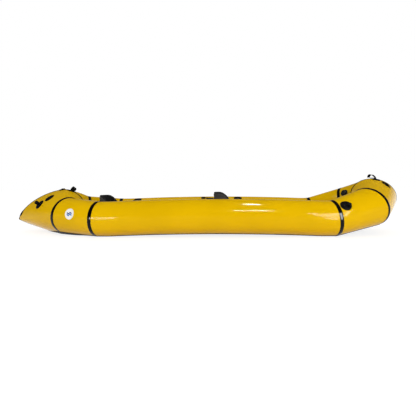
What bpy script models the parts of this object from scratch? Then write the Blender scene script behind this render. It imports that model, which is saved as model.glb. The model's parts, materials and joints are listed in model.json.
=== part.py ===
"""Two-seat packraft: an inflatable hull ring with its floor, seats, backbands, valves and tie-downs.

Metres, +Z up. +X is the bow, -Y the right-hand side, and Z = 0 the ground under the floor sheet.
Run it with: blender --background --python part.py
"""
import math

import bmesh
import bpy
from mathutils import Matrix, Vector
from mathutils.bvhtree import BVHTree

# Driving sizes of the hull ring
TUBE_RADIUS = 0.140
HALF_TRACK = 0.320
TUBE_HEIGHT = 0.1437
ROCKER_RISE = 0.0174
SIDE_BOW_X = 1.033
SIDE_STERN_X = -0.856
LEVEL_LENGTH = 0.100
SIDE_STEPS = 5
FACETS = 24
FINE_FACETS = 96

# Bow: the tube bends in at the quarter joint and meets its mirror image on the centreline
BOW_JOINT = Vector((1.3535, -0.235, 0.2273))
BOW_JOINT_RADIUS = 0.1595
BOW_CENTER = Vector((1.5133, 0, 0.3136))
BOW_HALF_LENGTH = 0.204
BOW_HALF_HEIGHT = 0.147
BOW_TILT = -0.238

# Stern: the same, but drawn out to a low pointed nose on the centreline
STERN_JOINT = Vector((-1.159, -0.203, 0.1607))
STERN_JOINT_RADIUS = 0.151
NOSE_X, NOSE_Z = -1.7144, 0.109
CREST_X, CREST_Z = -1.277, 0.382
KEEL_X, KEEL_Z = -1.457, 0.0137
THROAT_X, THROAT_Z = -1.116, 0.2714
CREST_POWER = 1.58
KEEL_POWER = 1.13
THROAT_POWER = 1.60
CENTER_BULGE = 0.008

# Coated fabric, seam tape and floor sheet
WALL = 0.003
JOINT_GAP = 0.0002
TAPE_WIDTH = 0.030
TAPE_OFFSET = 0.0004
CENTER_TAPE_OFFSET = 0.0006
TAPE_THICKNESS = 0.0009
FLOOR_OFFSET = 0.0025
FLOOR_THICKNESS = 0.0012
FLOOR_WRAP_SIDE = 20.0
FLOOR_WRAP_STERN = 33.0
FLOOR_WRAP_KEEL = 4.0
FLOOR_WRAP_BOW = 17.0
FLOOR_AFT_WRAPS = ((1.0, 4.0), (0.75, 12.0), (0.5, 22.0), (0.25, 33.0))
BOW_MIDDLE_SHARE = 0.42

# Round patches and webbing loops on the skin
CUTTER_OVERLAP = 0.0005
PATCH_RADIUS = 0.044
STERN_TOP_PATCH_RADIUS = 0.038
PATCH_HEIGHT = 0.0026
SEAM_PATCH_HEIGHT = 0.0064
SKIN_GAP = 0.0006
SEAM_GAP = 0.0020
LOOP_GAP = 0.0032
LOOP_SINK = 0.0014
LOOP_EYE_BOTTOM = 0.008
LOOP_EYE_FOOT = 0.0012
WEBBING_WIDTH = 0.022
WEBBING_THICKNESS = 0.0024
LOOP_HEIGHT = 0.038
LOOP_BULGE = 0.028
GRAB_LOOP_SIZE = (0.085, 0.040, (0.1, 1.3))
STERN_LOOP_SIZE = (0.048, 0.036)

# Seats and backbands
SEAT_LENGTH = 0.340
SEAT_WIDTH = 0.310
SEAT_SEAM_HEIGHT = 0.030
SEAT_CROWN = 0.042
SEAT_GROOVES = 3
SEAT_GROOVE_DEPTH = 0.007
FRONT_SEAT_X = 0.300
REAR_SEAT_X = -0.705
BAND_HALF_WIDTH = 0.135
BAND_THICKNESS = 0.016
FRONT_BAND_X, FRONT_BAND_DEPTH, FRONT_BAND_TOP = 0.079, 0.123, 0.353
REAR_BAND_X, REAR_BAND_DEPTH, REAR_BAND_TOP = -0.950, 0.100, 0.329
BAND_BOTTOM = 0.125

BAND_WINGS = {"front": (0.298, 3.0), "rear": (0.262, 2.2)}
BAND_WING_LIFT = 0.040

# Straps and their buckles
STRAP_WIDTH = 0.020
STRAP_THICKNESS = 0.0016
FORE_TIP_AHEAD, FORE_TIP_OUT = 0.0045, 0.001
FORE_TIP_HEIGHT = 0.225
FORE_SAG = 0.004
AFT_SAG = 0.002
AFT_TAIL_LIFT = 0.0035
AFT_SHOULDER = Vector((-0.004, -0.085, -0.066))
AFT_DROP = 0.071
ANCHOR_RADIUS = 0.040
BUCKLE_LENGTH = 0.026
BUCKLE_WIDTH = 0.028
BUCKLE_THICKNESS = 0.0036
BUCKLE_BAR = 0.0045
BUCKLE_LIFT = 0.0022

# Inflation valve, on the inner face of the bow
VALVE_FLANGE_RADIUS = 0.034
VALVE_COLLAR_RADIUS = 0.023
VALVE_BORE_RADIUS = 0.019
VALVE_HEIGHT = 0.016
VALVE_PLATE_LOW, VALVE_PLATE_HIGH = 0.0045, 0.0060
VALVE_STEM_RADIUS = 0.0026
VALVE_GUIDE_RADIUS = 0.0032
POPPET_RADIUS = 0.0165
CAP_RADIUS = 0.0265

YELLOW = (0.775, 0.470, 0.0)
BLACK = (0.012, 0.012, 0.013)
UP = Vector((0, 0, 1))
RIGHT, LEFT = -1, 1
SIDE_NAMES = {RIGHT: "right", LEFT: "left"}


def clear_scene():
    for item in list(bpy.data.objects):
        bpy.data.objects.remove(item, do_unlink=True)


def material(name, color, roughness, metallic=0.0):
    made = bpy.data.materials.new(name)
    made.use_nodes = True
    shader = made.node_tree.nodes["Principled BSDF"]
    shader.inputs["Base Color"].default_value = (*color, 1.0)
    shader.inputs["Roughness"].default_value = roughness
    shader.inputs["Metallic"].default_value = metallic
    return made


def add_object(name, bm, finish, frame=None):
    """Turn a bmesh, written in the frame's own coordinates, into a named object."""
    bmesh.ops.recalc_face_normals(bm, faces=bm.faces)
    if bm.calc_volume(signed=True) < 0:
        bmesh.ops.reverse_faces(bm, faces=bm.faces)
    mesh = bpy.data.meshes.new(name)
    bm.to_mesh(mesh)
    bm.free()
    mesh.shade_smooth()
    mesh.set_sharp_from_angle(angle=math.radians(40))
    mesh.materials.append(material(name, *finish))
    made = bpy.data.objects.new(name, mesh)
    bpy.context.collection.objects.link(made)
    if frame is not None:
        made.matrix_world = frame
    return made


def hide_as_cutter(item):
    item.hide_render = True
    item.display_type = "WIRE"


def mirrored(point, side):
    """The hull is drawn for the right side, and mirrored in the centre plane for the left."""
    return Vector((point.x, point.y if side == RIGHT else -point.y, point.z))


# Rings of the hull. Angle 0 is outboard, 90 up, 180 inboard and 270 down.

def ring_angles(count):
    return [math.tau * k / count for k in range(count)]


def tube_ring(center, along, radius, miter, count):
    """Where a round tube running along a direction meets the plane of its joint."""
    outboard = along.cross(Vector((0, 0, 1))).normalized()
    up = outboard.cross(along)
    points = []
    for angle in ring_angles(count):
        spoke = radius * (math.cos(angle) * outboard + math.sin(angle) * up)
        slip = -spoke.dot(miter) / along.dot(miter)
        points.append(center + spoke + slip * along)
    return points


def bow_center_ring(count):
    cos_tilt, sin_tilt = math.cos(BOW_TILT), math.sin(BOW_TILT)
    points = []
    for angle in ring_angles(count):
        long_part = BOW_HALF_LENGTH * math.cos(angle)
        high_part = BOW_HALF_HEIGHT * math.sin(angle)
        x = BOW_CENTER.x + long_part * cos_tilt - high_part * sin_tilt
        z = BOW_CENTER.z + long_part * sin_tilt + high_part * cos_tilt
        points.append(Vector((x, 0, z)))
    return points


def stern_center_ring(count):
    """Four superellipse quarters between the nose, crest, throat and keel points."""
    points = []
    for angle in ring_angles(count):
        aft, up = math.cos(angle), math.sin(angle)
        upper = up >= 0
        mid_x, far_z = (CREST_X, CREST_Z) if upper else (KEEL_X, KEEL_Z)
        if aft < 0:
            end_x, mid_z, power = THROAT_X, THROAT_Z, THROAT_POWER
        else:
            end_x, mid_z, power = NOSE_X, NOSE_Z, CREST_POWER if upper else KEEL_POWER
        x = mid_x + (end_x - mid_x) * abs(aft) ** (2 / power)
        z = mid_z + (far_z - mid_z) * abs(up) ** (2 / power)
        points.append(Vector((x, 0, z)))
    return points


def bulged_ring(first, last, share):
    """A ring between two others, pushed out a little by the pressure inside."""
    center = sum(first, Vector()).lerp(sum(last, Vector()), share) / len(first)
    points = []
    for a, b in zip(first, last):
        point = a.lerp(b, share)
        ruling = (b - a).normalized()
        outward = point - center
        outward -= outward.dot(ruling) * ruling
        points.append(point + CENTER_BULGE * outward.normalized())
    return points


def toward(ring, other, distance):
    """A ring slid along the skin towards its neighbour."""
    return [a + (b - a).normalized() * distance for a, b in zip(ring, other)]


def side_stations():
    """The side tube's axis: level at both ends, and gently raised between."""
    low_x, high_x = SIDE_STERN_X + LEVEL_LENGTH, SIDE_BOW_X - LEVEL_LENGTH
    stations = []
    for k in range(SIDE_STEPS + 1):
        share = k / SIDE_STEPS
        rise = ROCKER_RISE * (1 - (2 * share - 1) ** 2)
        stations.append(Vector((low_x + share * (high_x - low_x), -HALF_TRACK, TUBE_HEIGHT + rise)))
    return stations


def hull_rings(count):
    """All rings of the right half, from the stern's centreline to the bow's."""
    forward = Vector((1, 0, 0))
    stern_end = Vector((SIDE_STERN_X, -HALF_TRACK, TUBE_HEIGHT))
    bow_end = Vector((SIDE_BOW_X, -HALF_TRACK, TUBE_HEIGHT))
    keel_center = Vector(((NOSE_X + THROAT_X) / 2, 0, (CREST_Z + KEEL_Z) / 2))
    stern_half = (STERN_JOINT - keel_center).normalized()
    stern_quarter = (stern_end - STERN_JOINT).normalized()
    bow_quarter = (BOW_JOINT - bow_end).normalized()
    bow_half = (BOW_CENTER - BOW_JOINT).normalized()

    stern_seam = stern_center_ring(count)
    stern_joint = tube_ring(STERN_JOINT, stern_quarter, STERN_JOINT_RADIUS,
                            (stern_half + stern_quarter).normalized(), count)
    stern_bend = tube_ring(stern_end, forward, TUBE_RADIUS,
                           (stern_quarter + forward).normalized(), count)
    side = [tube_ring(p, forward, TUBE_RADIUS, forward, count) for p in side_stations()]
    bow_bend = tube_ring(bow_end, forward, TUBE_RADIUS, (forward + bow_quarter).normalized(), count)
    bow_joint = tube_ring(BOW_JOINT, bow_quarter, BOW_JOINT_RADIUS,
                          (bow_quarter + bow_half).normalized(), count)
    bow_seam = bow_center_ring(count)
    stern = [stern_seam, bulged_ring(stern_seam, stern_joint, 0.5), stern_joint, stern_bend]
    bow = [bow_bend, bow_joint, bulged_ring(bow_joint, bow_seam, BOW_MIDDLE_SHARE), bow_seam]
    return with_tape_edges(stern + side + bow)


def with_tape_edges(rings):
    """Add a ring on either side of every taped joint, where the edge of the tape lies."""
    last = len(rings) - 1
    taped = (0, 2, 3, last - 3, last - 2, last)
    fuller = []
    for k, ring in enumerate(rings):
        if k in taped and k > 0:
            fuller.append(toward(ring, rings[k - 1], TAPE_WIDTH / 2))
        fuller.append(ring)
        if k in taped and k < last:
            fuller.append(toward(ring, rings[k + 1], TAPE_WIDTH / 2))
    return fuller


# Places of the joints in the list of rings
STERN_SEAM = 0
STERN_MIDDLE = 2
STERN_JOINT_RING = 4
STERN_BEND = 7
BOW_BEND = STERN_BEND + SIDE_STEPS + 4
BOW_JOINT_RING = BOW_BEND + 3
BOW_MIDDLE = BOW_BEND + 5
BOW_SEAM = BOW_BEND + 7
SEGMENTS = {
    "stern_center": (STERN_SEAM, STERN_JOINT_RING),
    "stern_quarter": (STERN_JOINT_RING, STERN_BEND),
    "side_tube": (STERN_BEND, BOW_BEND),
    "bow_quarter": (BOW_BEND, BOW_JOINT_RING),
    "bow_center": (BOW_JOINT_RING, BOW_SEAM),
}


def ring_plane(ring):
    """The normal of the plane that a ring lies in."""
    center = sum(ring, Vector()) / len(ring)
    total = Vector()
    for a, b in zip(ring, ring[1:] + ring[:1]):
        total += (a - center).cross(b - center)
    return total.normalized()


def offset_rings(rings, distance):
    """Move the skin out by a distance, keeping every ring in its own plane."""
    moved = []
    for j, ring in enumerate(rings):
        plane = ring_plane(ring)
        center = sum(ring, Vector()) / len(ring)
        points = []
        for i, point in enumerate(ring):
            tangent = (ring[(i + 1) % len(ring)] - ring[i - 1]).normalized()
            within = tangent.cross(plane).normalized()
            if within.dot(point - center) < 0:
                within = -within
            reach = 1.0
            for other in (j - 1, j + 1):
                if 0 <= other < len(rings):
                    normal = tangent.cross(rings[other][i] - point).normalized()
                    reach = min(reach, abs(normal.dot(within)))
            points.append(point + within * (distance / reach))
        moved.append(points)
    return moved


RINGS = hull_rings(FACETS)
FINE_RINGS = hull_rings(FINE_FACETS)


def fold_quad(bm, corners, outward):
    """Two triangles, split along the diagonal that stands further out, so that layers nest."""
    a, b, c, d = corners
    if (a.co + c.co - b.co - d.co).dot(outward) >= 0:
        bm.faces.new((a, b, c))
        bm.faces.new((a, c, d))
    else:
        bm.faces.new((a, b, d))
        bm.faces.new((b, c, d))


def shell(outer, inner, side=RIGHT, closed_round=True):
    """A closed body between two sets of rings, joined along their open edges."""
    bm = bmesh.new()
    layers = [[[bm.verts.new(mirrored(p, side)) for p in ring] for ring in rings]
              for rings in (outer, inner)]
    rows, columns = len(outer), len(outer[0])
    spans = columns if closed_round else columns - 1
    for j in range(rows - 1):
        for i in range(spans):
            k = (i + 1) % columns
            quads = [(layer[j][i], layer[j][k], layer[j + 1][k], layer[j + 1][i]) for layer in layers]
            outward = sum((a.co - b.co for a, b in zip(*quads)), Vector())
            for quad in quads:
                fold_quad(bm, quad, outward)
    for j in (0, rows - 1):
        for i in range(spans):
            k = (i + 1) % columns
            bm.faces.new((layers[0][j][i], layers[0][j][k], layers[1][j][k], layers[1][j][i]))
    if not closed_round:
        for i in (0, columns - 1):
            for j in range(rows - 1):
                bm.faces.new((layers[0][j][i], layers[0][j + 1][i],
                              layers[1][j + 1][i], layers[1][j][i]))
    return bm


def blend_rings(ring, other, share):
    return [a.lerp(b, share) for a, b in zip(ring, other)]


def build_tubes():
    """The ten fabric lengths of the hull, each an open-ended skin."""
    inner_rings = offset_rings(RINGS, -WALL)
    for side in (RIGHT, LEFT):
        for name, (first, last) in SEGMENTS.items():
            skins = []
            for rings in (RINGS, inner_rings):
                part = list(rings[first:last + 1])
                start = toward(part[0], part[1], JOINT_GAP)
                part[-1] = toward(part[-1], part[-2], JOINT_GAP)
                part[0] = start
                skins.append(part)
            add_object(f"{name}_{SIDE_NAMES[side]}", shell(*skins, side), (YELLOW, 0.22))


def tape_skins(place):
    """Three rings of a tape lying across a joint, on its upper and under face."""
    heights = (TAPE_OFFSET + TAPE_THICKNESS, TAPE_OFFSET)
    return [offset_rings(RINGS, height)[place - 1:place + 2] for height in heights]


def center_tape_skins(place, edge_place):
    """The same over a centreline seam, from one half of the hull to the other."""
    skins = []
    for height in (CENTER_TAPE_OFFSET + TAPE_THICKNESS, CENTER_TAPE_OFFSET):
        rings = offset_rings(RINGS, height)
        edge = rings[edge_place]
        skins.append([edge, rings[place], [mirrored(p, LEFT) for p in edge]])
    return skins


def build_tapes():
    joints = {
        "stern_joint_tape": STERN_JOINT_RING,
        "stern_bend_tape": STERN_BEND,
        "bow_bend_tape": BOW_BEND,
        "bow_joint_tape": BOW_JOINT_RING,
    }
    for side in (RIGHT, LEFT):
        for name, place in joints.items():
            add_object(f"{name}_{SIDE_NAMES[side]}", shell(*tape_skins(place), side), (BLACK, 0.35))
    add_object("stern_center_tape", shell(*center_tape_skins(STERN_SEAM, STERN_SEAM + 1)), (BLACK, 0.35))
    add_object("bow_center_tape", shell(*center_tape_skins(BOW_SEAM, BOW_SEAM - 1)), (BLACK, 0.35))


def point_at_angle(ring, degrees):
    """A point on a faceted ring, at an angle between its corners."""
    place = degrees / 360 * len(ring)
    low = int(math.floor(place))
    return ring[low % len(ring)].lerp(ring[(low + 1) % len(ring)], place - low)


def floor_section(ring, wrap):
    """Across the boat: up the right tube's underside, straight between the tubes, up the left."""
    step = 360 / FACETS
    angles = [270.0]
    while angles[-1] + step < 270 + wrap - 1:
        angles.append(angles[-1] + step)
    angles.append(270 + wrap)
    right = [point_at_angle(ring, a) for a in reversed(angles)]
    return right + [mirrored(p, LEFT) for p in reversed(right)]


def floor_chain(rings):
    """The floor's cross sections from the stern's centreline to the bow's, each with its wrap."""
    joint, middle = rings[STERN_JOINT_RING], rings[STERN_MIDDLE]
    chain = [(rings[STERN_SEAM + 1], FLOOR_WRAP_KEEL)]
    chain += [(blend_rings(joint, middle, share), wrap) for share, wrap in FLOOR_AFT_WRAPS]
    for ring in rings[STERN_JOINT_RING - 1:BOW_MIDDLE]:
        center_x = sum(p.x for p in ring) / len(ring)
        share = min(max((center_x - STERN_JOINT.x) / (SIDE_STERN_X - STERN_JOINT.x), 0), 1)
        chain.append((ring, FLOOR_WRAP_STERN + (FLOOR_WRAP_SIDE - FLOOR_WRAP_STERN) * share))
    return chain + [(rings[k], FLOOR_WRAP_BOW) for k in (BOW_MIDDLE, BOW_SEAM - 1)]


def build_floor():
    """One sheet under the whole boat, closed to the tubes right round."""
    count = len(floor_section(RINGS[0], FLOOR_WRAP_STERN))
    skins = []
    for height in (FLOOR_OFFSET + FLOOR_THICKNESS, FLOOR_OFFSET):
        sections = []
        for ring, wrap in floor_chain(offset_rings(RINGS, height)):
            section = floor_section(ring, wrap)
            while len(section) < count:
                right = section[:len(section) // 2]
                right.insert(1, right[0].lerp(right[1], 0.5))
                section = right + [mirrored(p, LEFT) for p in reversed(right)]
            sections.append(section)
        skins.append(sections)
    add_object("floor_sheet", shell(*skins, closed_round=False), (BLACK, 0.5))


# Finding places on the skin

def skin_tree():
    points, faces = [], []
    for side in (RIGHT, LEFT):
        for j, ring in enumerate(FINE_RINGS):
            base = len(points)
            points.extend(mirrored(p, side) for p in ring)
            if j == 0:
                continue
            for i in range(FINE_FACETS):
                k = (i + 1) % FINE_FACETS
                before = base - FINE_FACETS
                faces.append((before + i, before + k, base + k, base + i))
    return BVHTree.FromPolygons(points, faces)


SKIN = skin_tree()


def ring_place(first, last, share):
    """Where a share of a segment's length falls in the list of rings."""
    centers = [sum(ring, Vector()) / len(ring) for ring in FINE_RINGS[first:last + 1]]
    steps = [(b - a).length for a, b in zip(centers, centers[1:])]
    left = share * sum(steps)
    for k, step in enumerate(steps):
        if left <= step:
            return first + k + left / step
        left -= step
    return last


def skin_frame(segment, share, degrees, side):
    """A frame on the skin: Z out of it, Y along the ring, X along the tube towards the bow."""
    first, last = SEGMENTS[segment]
    place = ring_place(first, last, share)
    low = min(int(place), last - 1)
    near = point_at_angle(FINE_RINGS[low], degrees)
    far = point_at_angle(FINE_RINGS[low + 1], degrees)
    point = near.lerp(far, place - low)
    step = 2.0
    ring_now = blend_rings(FINE_RINGS[low], FINE_RINGS[low + 1], place - low)
    around = point_at_angle(ring_now, degrees + step) - point_at_angle(ring_now, degrees - step)
    along = (far - near).normalized()
    normal = along.cross(around).normalized()
    center = sum(ring_now, Vector()) / len(ring_now)
    if normal.dot(point - center) < 0:
        normal = -normal
    point, normal, along = (mirrored(v, side) for v in (point, normal, along))
    return frame_of(point, normal, along)


def seam_frame(place, degrees):
    """A frame on the centreline seam, with Z out of the boat and Y across it."""
    ring = FINE_RINGS[place]
    point = point_at_angle(ring, degrees)
    step = 2.0
    tangent = (point_at_angle(ring, degrees + step) - point_at_angle(ring, degrees - step)).normalized()
    normal = tangent.cross(Vector((0, 1, 0)))
    center = sum(ring, Vector()) / len(ring)
    if normal.dot(point - center) < 0:
        normal = -normal
    return frame_of(point, normal, Vector((1, 0, 0)))


def frame_of(point, normal, along):
    """Z along the normal, X as near to the given direction as the surface allows."""
    z = normal.normalized()
    x = (along - along.dot(z) * z).normalized()
    y = z.cross(x)
    return Matrix.Translation(point) @ Matrix((x, y, z)).transposed().to_4x4()


def skin_height(frame, x, y):
    """How high the skin is under a point of a frame, in the frame's own coordinates."""
    reach = 0.08
    start = frame @ Vector((x, y, reach))
    down = -(frame.to_3x3() @ Vector((0, 0, 1)))
    hit = SKIN.ray_cast(start, down, 2 * reach)
    return reach - hit[3]


def skin_cutters(gap):
    """Solid copies of both hull halves, a hair larger, that shape what lies on them."""
    rings = offset_rings(RINGS, gap)
    cutters = []
    for side in (RIGHT, LEFT):
        part = [list(ring) for ring in rings]
        for end in (0, -1):
            part[end] = [p + Vector((0, CUTTER_OVERLAP, 0)) for p in part[end]]
        bm = bmesh.new()
        rows = [[bm.verts.new(mirrored(p, side)) for p in ring] for ring in part]
        centers = [sum((v.co for v in row), Vector()) / FACETS for row in rows]
        for j in range(len(rows) - 1):
            for i in range(FACETS):
                k = (i + 1) % FACETS
                outward = rows[j][i].co - centers[j] + rows[j + 1][i].co - centers[j + 1]
                fold_quad(bm, (rows[j][i], rows[j][k], rows[j + 1][k], rows[j + 1][i]), outward)
        bm.faces.new(rows[0])
        bm.faces.new(rows[-1])
        cutter = add_object(f"skin_cutter_{SIDE_NAMES[side]}_{round(gap * 1e4)}", bm, (YELLOW, 0.5))
        hide_as_cutter(cutter)
        cutters.append(cutter)
    return cutters


def disc_on_skin(bm, frame, radius, height, spokes, rings=2):
    """Add a round piece that follows the skin, deep enough to be trimmed to it."""
    sink = 0.012
    layers = []
    for top in (True, False):
        def corner(x, y):
            z = skin_height(frame, x, y)
            return bm.verts.new(frame @ Vector((x, y, z + height if top else z - sink)))
        center = corner(0, 0)
        circles = []
        for r in range(1, rings + 1):
            reach = radius * r / rings
            circles.append([corner(reach * math.cos(a + math.pi / spokes),
                                   reach * math.sin(a + math.pi / spokes))
                            for a in ring_angles(spokes)])
        layers.append((center, circles))
    for center, circles in layers:
        for i in range(spokes):
            k = (i + 1) % spokes
            bm.faces.new((center, circles[0][i], circles[0][k]))
            for inner, outer in zip(circles, circles[1:]):
                bm.faces.new((inner[i], outer[i], outer[k], inner[k]))
    top_rim, low_rim = layers[0][1][-1], layers[1][1][-1]
    for i in range(spokes):
        k = (i + 1) % spokes
        bm.faces.new((top_rim[i], top_rim[k], low_rim[k], low_rim[i]))


def trim_to_skin(item, cutters):
    for cutter in cutters:
        cut = item.modifiers.new("trim", "BOOLEAN")
        cut.operation = "DIFFERENCE"
        cut.object = cutter


def webbing_loop(name, frame, base_height, lean, height=LOOP_HEIGHT, bulge=LOOP_BULGE, fullness=(1, 1),
                 count=14):
    """A folded strip of webbing with an open eye, hinged where it is sewn to its patch.

    Its own Y is the hinge line across the webbing, and at zero lean it stands along Z.
    fullness is how far its -X and +X strands swing out.
    """
    foot = 2.2 * WEBBING_THICKNESS

    def outline(tall, wide, base, lift):
        points = []
        for k in range(count):
            turn = math.tau * (k + 0.5) / count
            swell = abs(math.sin(turn)) * math.sin(turn / 2) / 0.77
            swell *= fullness[1] if turn < math.pi else fullness[0]
            x = math.copysign(base / 2 + (wide - base) / 2 * swell, math.sin(turn))
            points.append((x, lift + (tall - lift) * (1 - math.cos(turn)) / 2))
        return points

    t = WEBBING_THICKNESS
    outer = outline(height, bulge, foot, -LOOP_SINK)
    inner = outline(height - t, bulge - 2 * t, LOOP_EYE_FOOT, LOOP_EYE_BOTTOM)
    bm = bmesh.new()
    sides = []
    for y in (-WEBBING_WIDTH / 2, WEBBING_WIDTH / 2):
        sides.append([[bm.verts.new((x, y, z)) for x, z in loop] for loop in (outer, inner)])
    for i in range(count):
        k = (i + 1) % count
        for rim in (0, 1):
            bm.faces.new((sides[0][rim][i], sides[0][rim][k], sides[1][rim][k], sides[1][rim][i]))
        for y_side in sides:
            bm.faces.new((y_side[0][i], y_side[0][k], y_side[1][k], y_side[1][i]))
    placed = frame @ Matrix.Translation((0, 0, base_height + LOOP_GAP))
    placed = placed @ Matrix.Rotation(math.radians(lean), 4, "Y")
    return add_object(name, bm, (BLACK, 0.8), placed)


def turned(frame, degrees):
    return frame @ Matrix.Rotation(math.radians(degrees), 4, "Z")


def skin_patch(name, frame, radius, height, cutters, spokes=16):
    bm = bmesh.new()
    disc_on_skin(bm, frame, radius, height, spokes)
    trim_to_skin(add_object(name, bm, (BLACK, 0.45)), cutters)


def build_tie_downs(skin, seam):
    """Every round patch, with the webbing loop of those whose loop stands up."""
    pairs = {
        "bow_front": (("bow_center", 0.80, 62), 0, None),
        "bow_quarter": (("bow_quarter", 0.17, 41), -50, 50),
        "stern_fore": (("stern_center", 0.50, 55), 0, None),
        "stern_aft": (("stern_center", 0.46, 36), 15, -6),
    }
    for name, (place, turn, lean) in pairs.items():
        for side in (RIGHT, LEFT):
            frame = skin_frame(*place, side)
            skin_patch(f"{name}_patch_{SIDE_NAMES[side]}", frame, PATCH_RADIUS, PATCH_HEIGHT, skin)
            if lean is not None:
                loop_frame = turned(frame, -side * turn)
                webbing_loop(f"{name}_loop_{SIDE_NAMES[side]}", loop_frame, PATCH_HEIGHT, lean)
    frames = {
        "bow_top": (seam_frame(BOW_SEAM, 99), PATCH_RADIUS),
        "stern_top": (seam_frame(STERN_SEAM, 116), STERN_TOP_PATCH_RADIUS),
    }
    for name, (frame, radius) in frames.items():
        skin_patch(f"{name}_patch", frame, radius, SEAM_PATCH_HEIGHT, seam)
    webbing_loop("bow_top_loop", turned(frames["bow_top"][0], -70), SEAM_PATCH_HEIGHT, -86,
                 *GRAB_LOOP_SIZE)
    webbing_loop("stern_top_loop", turned(frames["stern_top"][0], -27), SEAM_PATCH_HEIGHT, 52,
                 *STERN_LOOP_SIZE)


# Seats and backbands

def keel_height(x):
    """Height of the side tube's underside, which the floor follows."""
    stations = side_stations()
    if x <= stations[0].x or x >= stations[-1].x:
        return TUBE_HEIGHT - TUBE_RADIUS
    for a, b in zip(stations, stations[1:]):
        if a.x <= x <= b.x:
            share = (x - a.x) / (b.x - a.x)
            return a.z + share * (b.z - a.z) - TUBE_RADIUS
    return TUBE_HEIGHT - TUBE_RADIUS


def seat_cushion(name, center_x):
    """An inflated cushion: crowned top with cross channels, sides drawn in between the corners."""
    steps = 14
    bm = bmesh.new()
    floor_gap = 0.0009

    def corner(i, j, top):
        u, v = 2 * i / steps - 1, 2 * j / steps - 1
        x = SEAT_LENGTH / 2 * u * (1 - 0.10 * v * v + 0.05 * (1 - v * v) * (abs(u) - 1))
        y = SEAT_WIDTH / 2 * v * (1 - 0.10 * u * u - 0.04 * (1 - u * u))
        fullness = ((1 - u ** 4) * (1 - v ** 4)) ** 0.5
        ground = keel_height(center_x + x) - FLOOR_OFFSET + floor_gap
        if not top:
            flat = min(1.0, 2.2 * fullness)
            return (x, y, ground + SEAT_SEAM_HEIGHT * (1 - flat))
        groove = SEAT_GROOVE_DEPTH * (0.5 + 0.5 * math.cos(math.pi * (SEAT_GROOVES + 1) * (u + 1))) ** 6
        return (x, y, ground + SEAT_SEAM_HEIGHT + SEAT_CROWN * fullness - groove * fullness)

    def on_edge(i, j):
        return i in (0, steps) or j in (0, steps)

    grids = []
    seam = {}
    for top in (True, False):
        grid = {}
        for i in range(steps + 1):
            for j in range(steps + 1):
                if on_edge(i, j):
                    if (i, j) not in seam:
                        seam[i, j] = bm.verts.new(corner(i, j, True))
                    grid[i, j] = seam[i, j]
                else:
                    grid[i, j] = bm.verts.new(corner(i, j, top))
        grids.append(grid)
    for grid in grids:
        for i in range(steps):
            for j in range(steps):
                bm.faces.new((grid[i, j], grid[i + 1, j], grid[i + 1, j + 1], grid[i, j + 1]))
    return add_object(name, bm, ((0.05, 0.05, 0.055), 0.6), Matrix.Translation((center_x, 0, 0)))


def backband(name, back_x, depth, top, wing_top, wing_power):
    """A padded band bent round the back, with its wings forward and its top corners rounded.

    wing_top is the height of its wings' ends, and wing_power how late its top edge turns down to them.
    Its origin is on the line that it folds about, along its bottom edge.
    """
    columns, rows = 16, 6
    hinge = Vector((back_x + BAND_THICKNESS / 2, 0, BAND_BOTTOM))
    bm = bmesh.new()

    def place(i, j, face):
        sweep = math.pi * (i / columns - 0.5)
        share = j / rows
        wing = abs(2 * i / columns - 1)
        high = top - BAND_BOTTOM - (top - wing_top) * max(0.0, (wing - 0.45) / 0.55) ** wing_power
        low = BAND_WING_LIFT * max(0.0, (wing - 0.5) / 0.5) ** 2
        x = depth * (1 - math.cos(sweep))
        y = BAND_HALF_WIDTH * math.sin(sweep)
        normal = Vector((-BAND_HALF_WIDTH * math.cos(sweep), depth * math.sin(sweep), 0)).normalized()
        pad = math.sqrt(max(0.0, 1 - (2 * share - 1) ** 4) * (1 - wing ** 6))
        half = BAND_THICKNESS / 2 * (0.30 + 0.70 * pad)
        return Vector((x, y, low + share * (high - low))) + face * half * normal

    skins = [[[bm.verts.new(place(i, j, face)) for j in range(rows + 1)]
              for i in range(columns + 1)] for face in (1, -1)]
    for skin in skins:
        for i in range(columns):
            for j in range(rows):
                bm.faces.new((skin[i][j], skin[i + 1][j], skin[i + 1][j + 1], skin[i][j + 1]))
    for i in range(columns):
        for j in (0, rows):
            bm.faces.new((skins[0][i][j], skins[0][i + 1][j], skins[1][i + 1][j], skins[1][i][j]))
    for j in range(rows):
        for i in (0, columns):
            bm.faces.new((skins[0][i][j], skins[0][i][j + 1], skins[1][i][j + 1], skins[1][i][j]))
    return add_object(name, bm, ((0.022, 0.022, 0.024), 0.7), Matrix.Translation(hinge))


def strap(name, points, acrosses):
    """A flat strap along a row of points, with its width along a direction given for each."""
    bm = bmesh.new()
    rows = []
    for k, (point, across) in enumerate(zip(points, acrosses)):
        before, after = points[max(k - 1, 0)], points[min(k + 1, len(points) - 1)]
        along = (after - before).normalized()
        wide = (across - across.dot(along) * along).normalized()
        up = along.cross(wide).normalized()
        rows.append([bm.verts.new(point + a * wide * STRAP_WIDTH / 2 + b * up * STRAP_THICKNESS / 2)
                     for a, b in ((-1, -1), (1, -1), (1, 1), (-1, 1))])
    for near, far, point in zip(rows, rows[1:], points):
        for i in range(4):
            k = (i + 1) % 4
            fold_quad(bm, (near[i], near[k], far[k], far[i]), near[i].co + near[k].co - 2 * point)
    bm.faces.new(rows[0])
    bm.faces.new(rows[-1])
    return add_object(name, bm, (BLACK, 0.8))


def sagging(first, last, sag, count=6):
    return [first.lerp(last, k / count) - Vector((0, 0, sag * math.sin(math.pi * k / count)))
            for k in range(count + 1)]


def twisting(first, last, count=6):
    """Directions that turn from one to another, for a strap that ends flat on something else."""
    if first.dot(last) < 0:
        first = -first
    return [first.lerp(last, k / count).normalized() for k in range(count + 1)]


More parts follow.
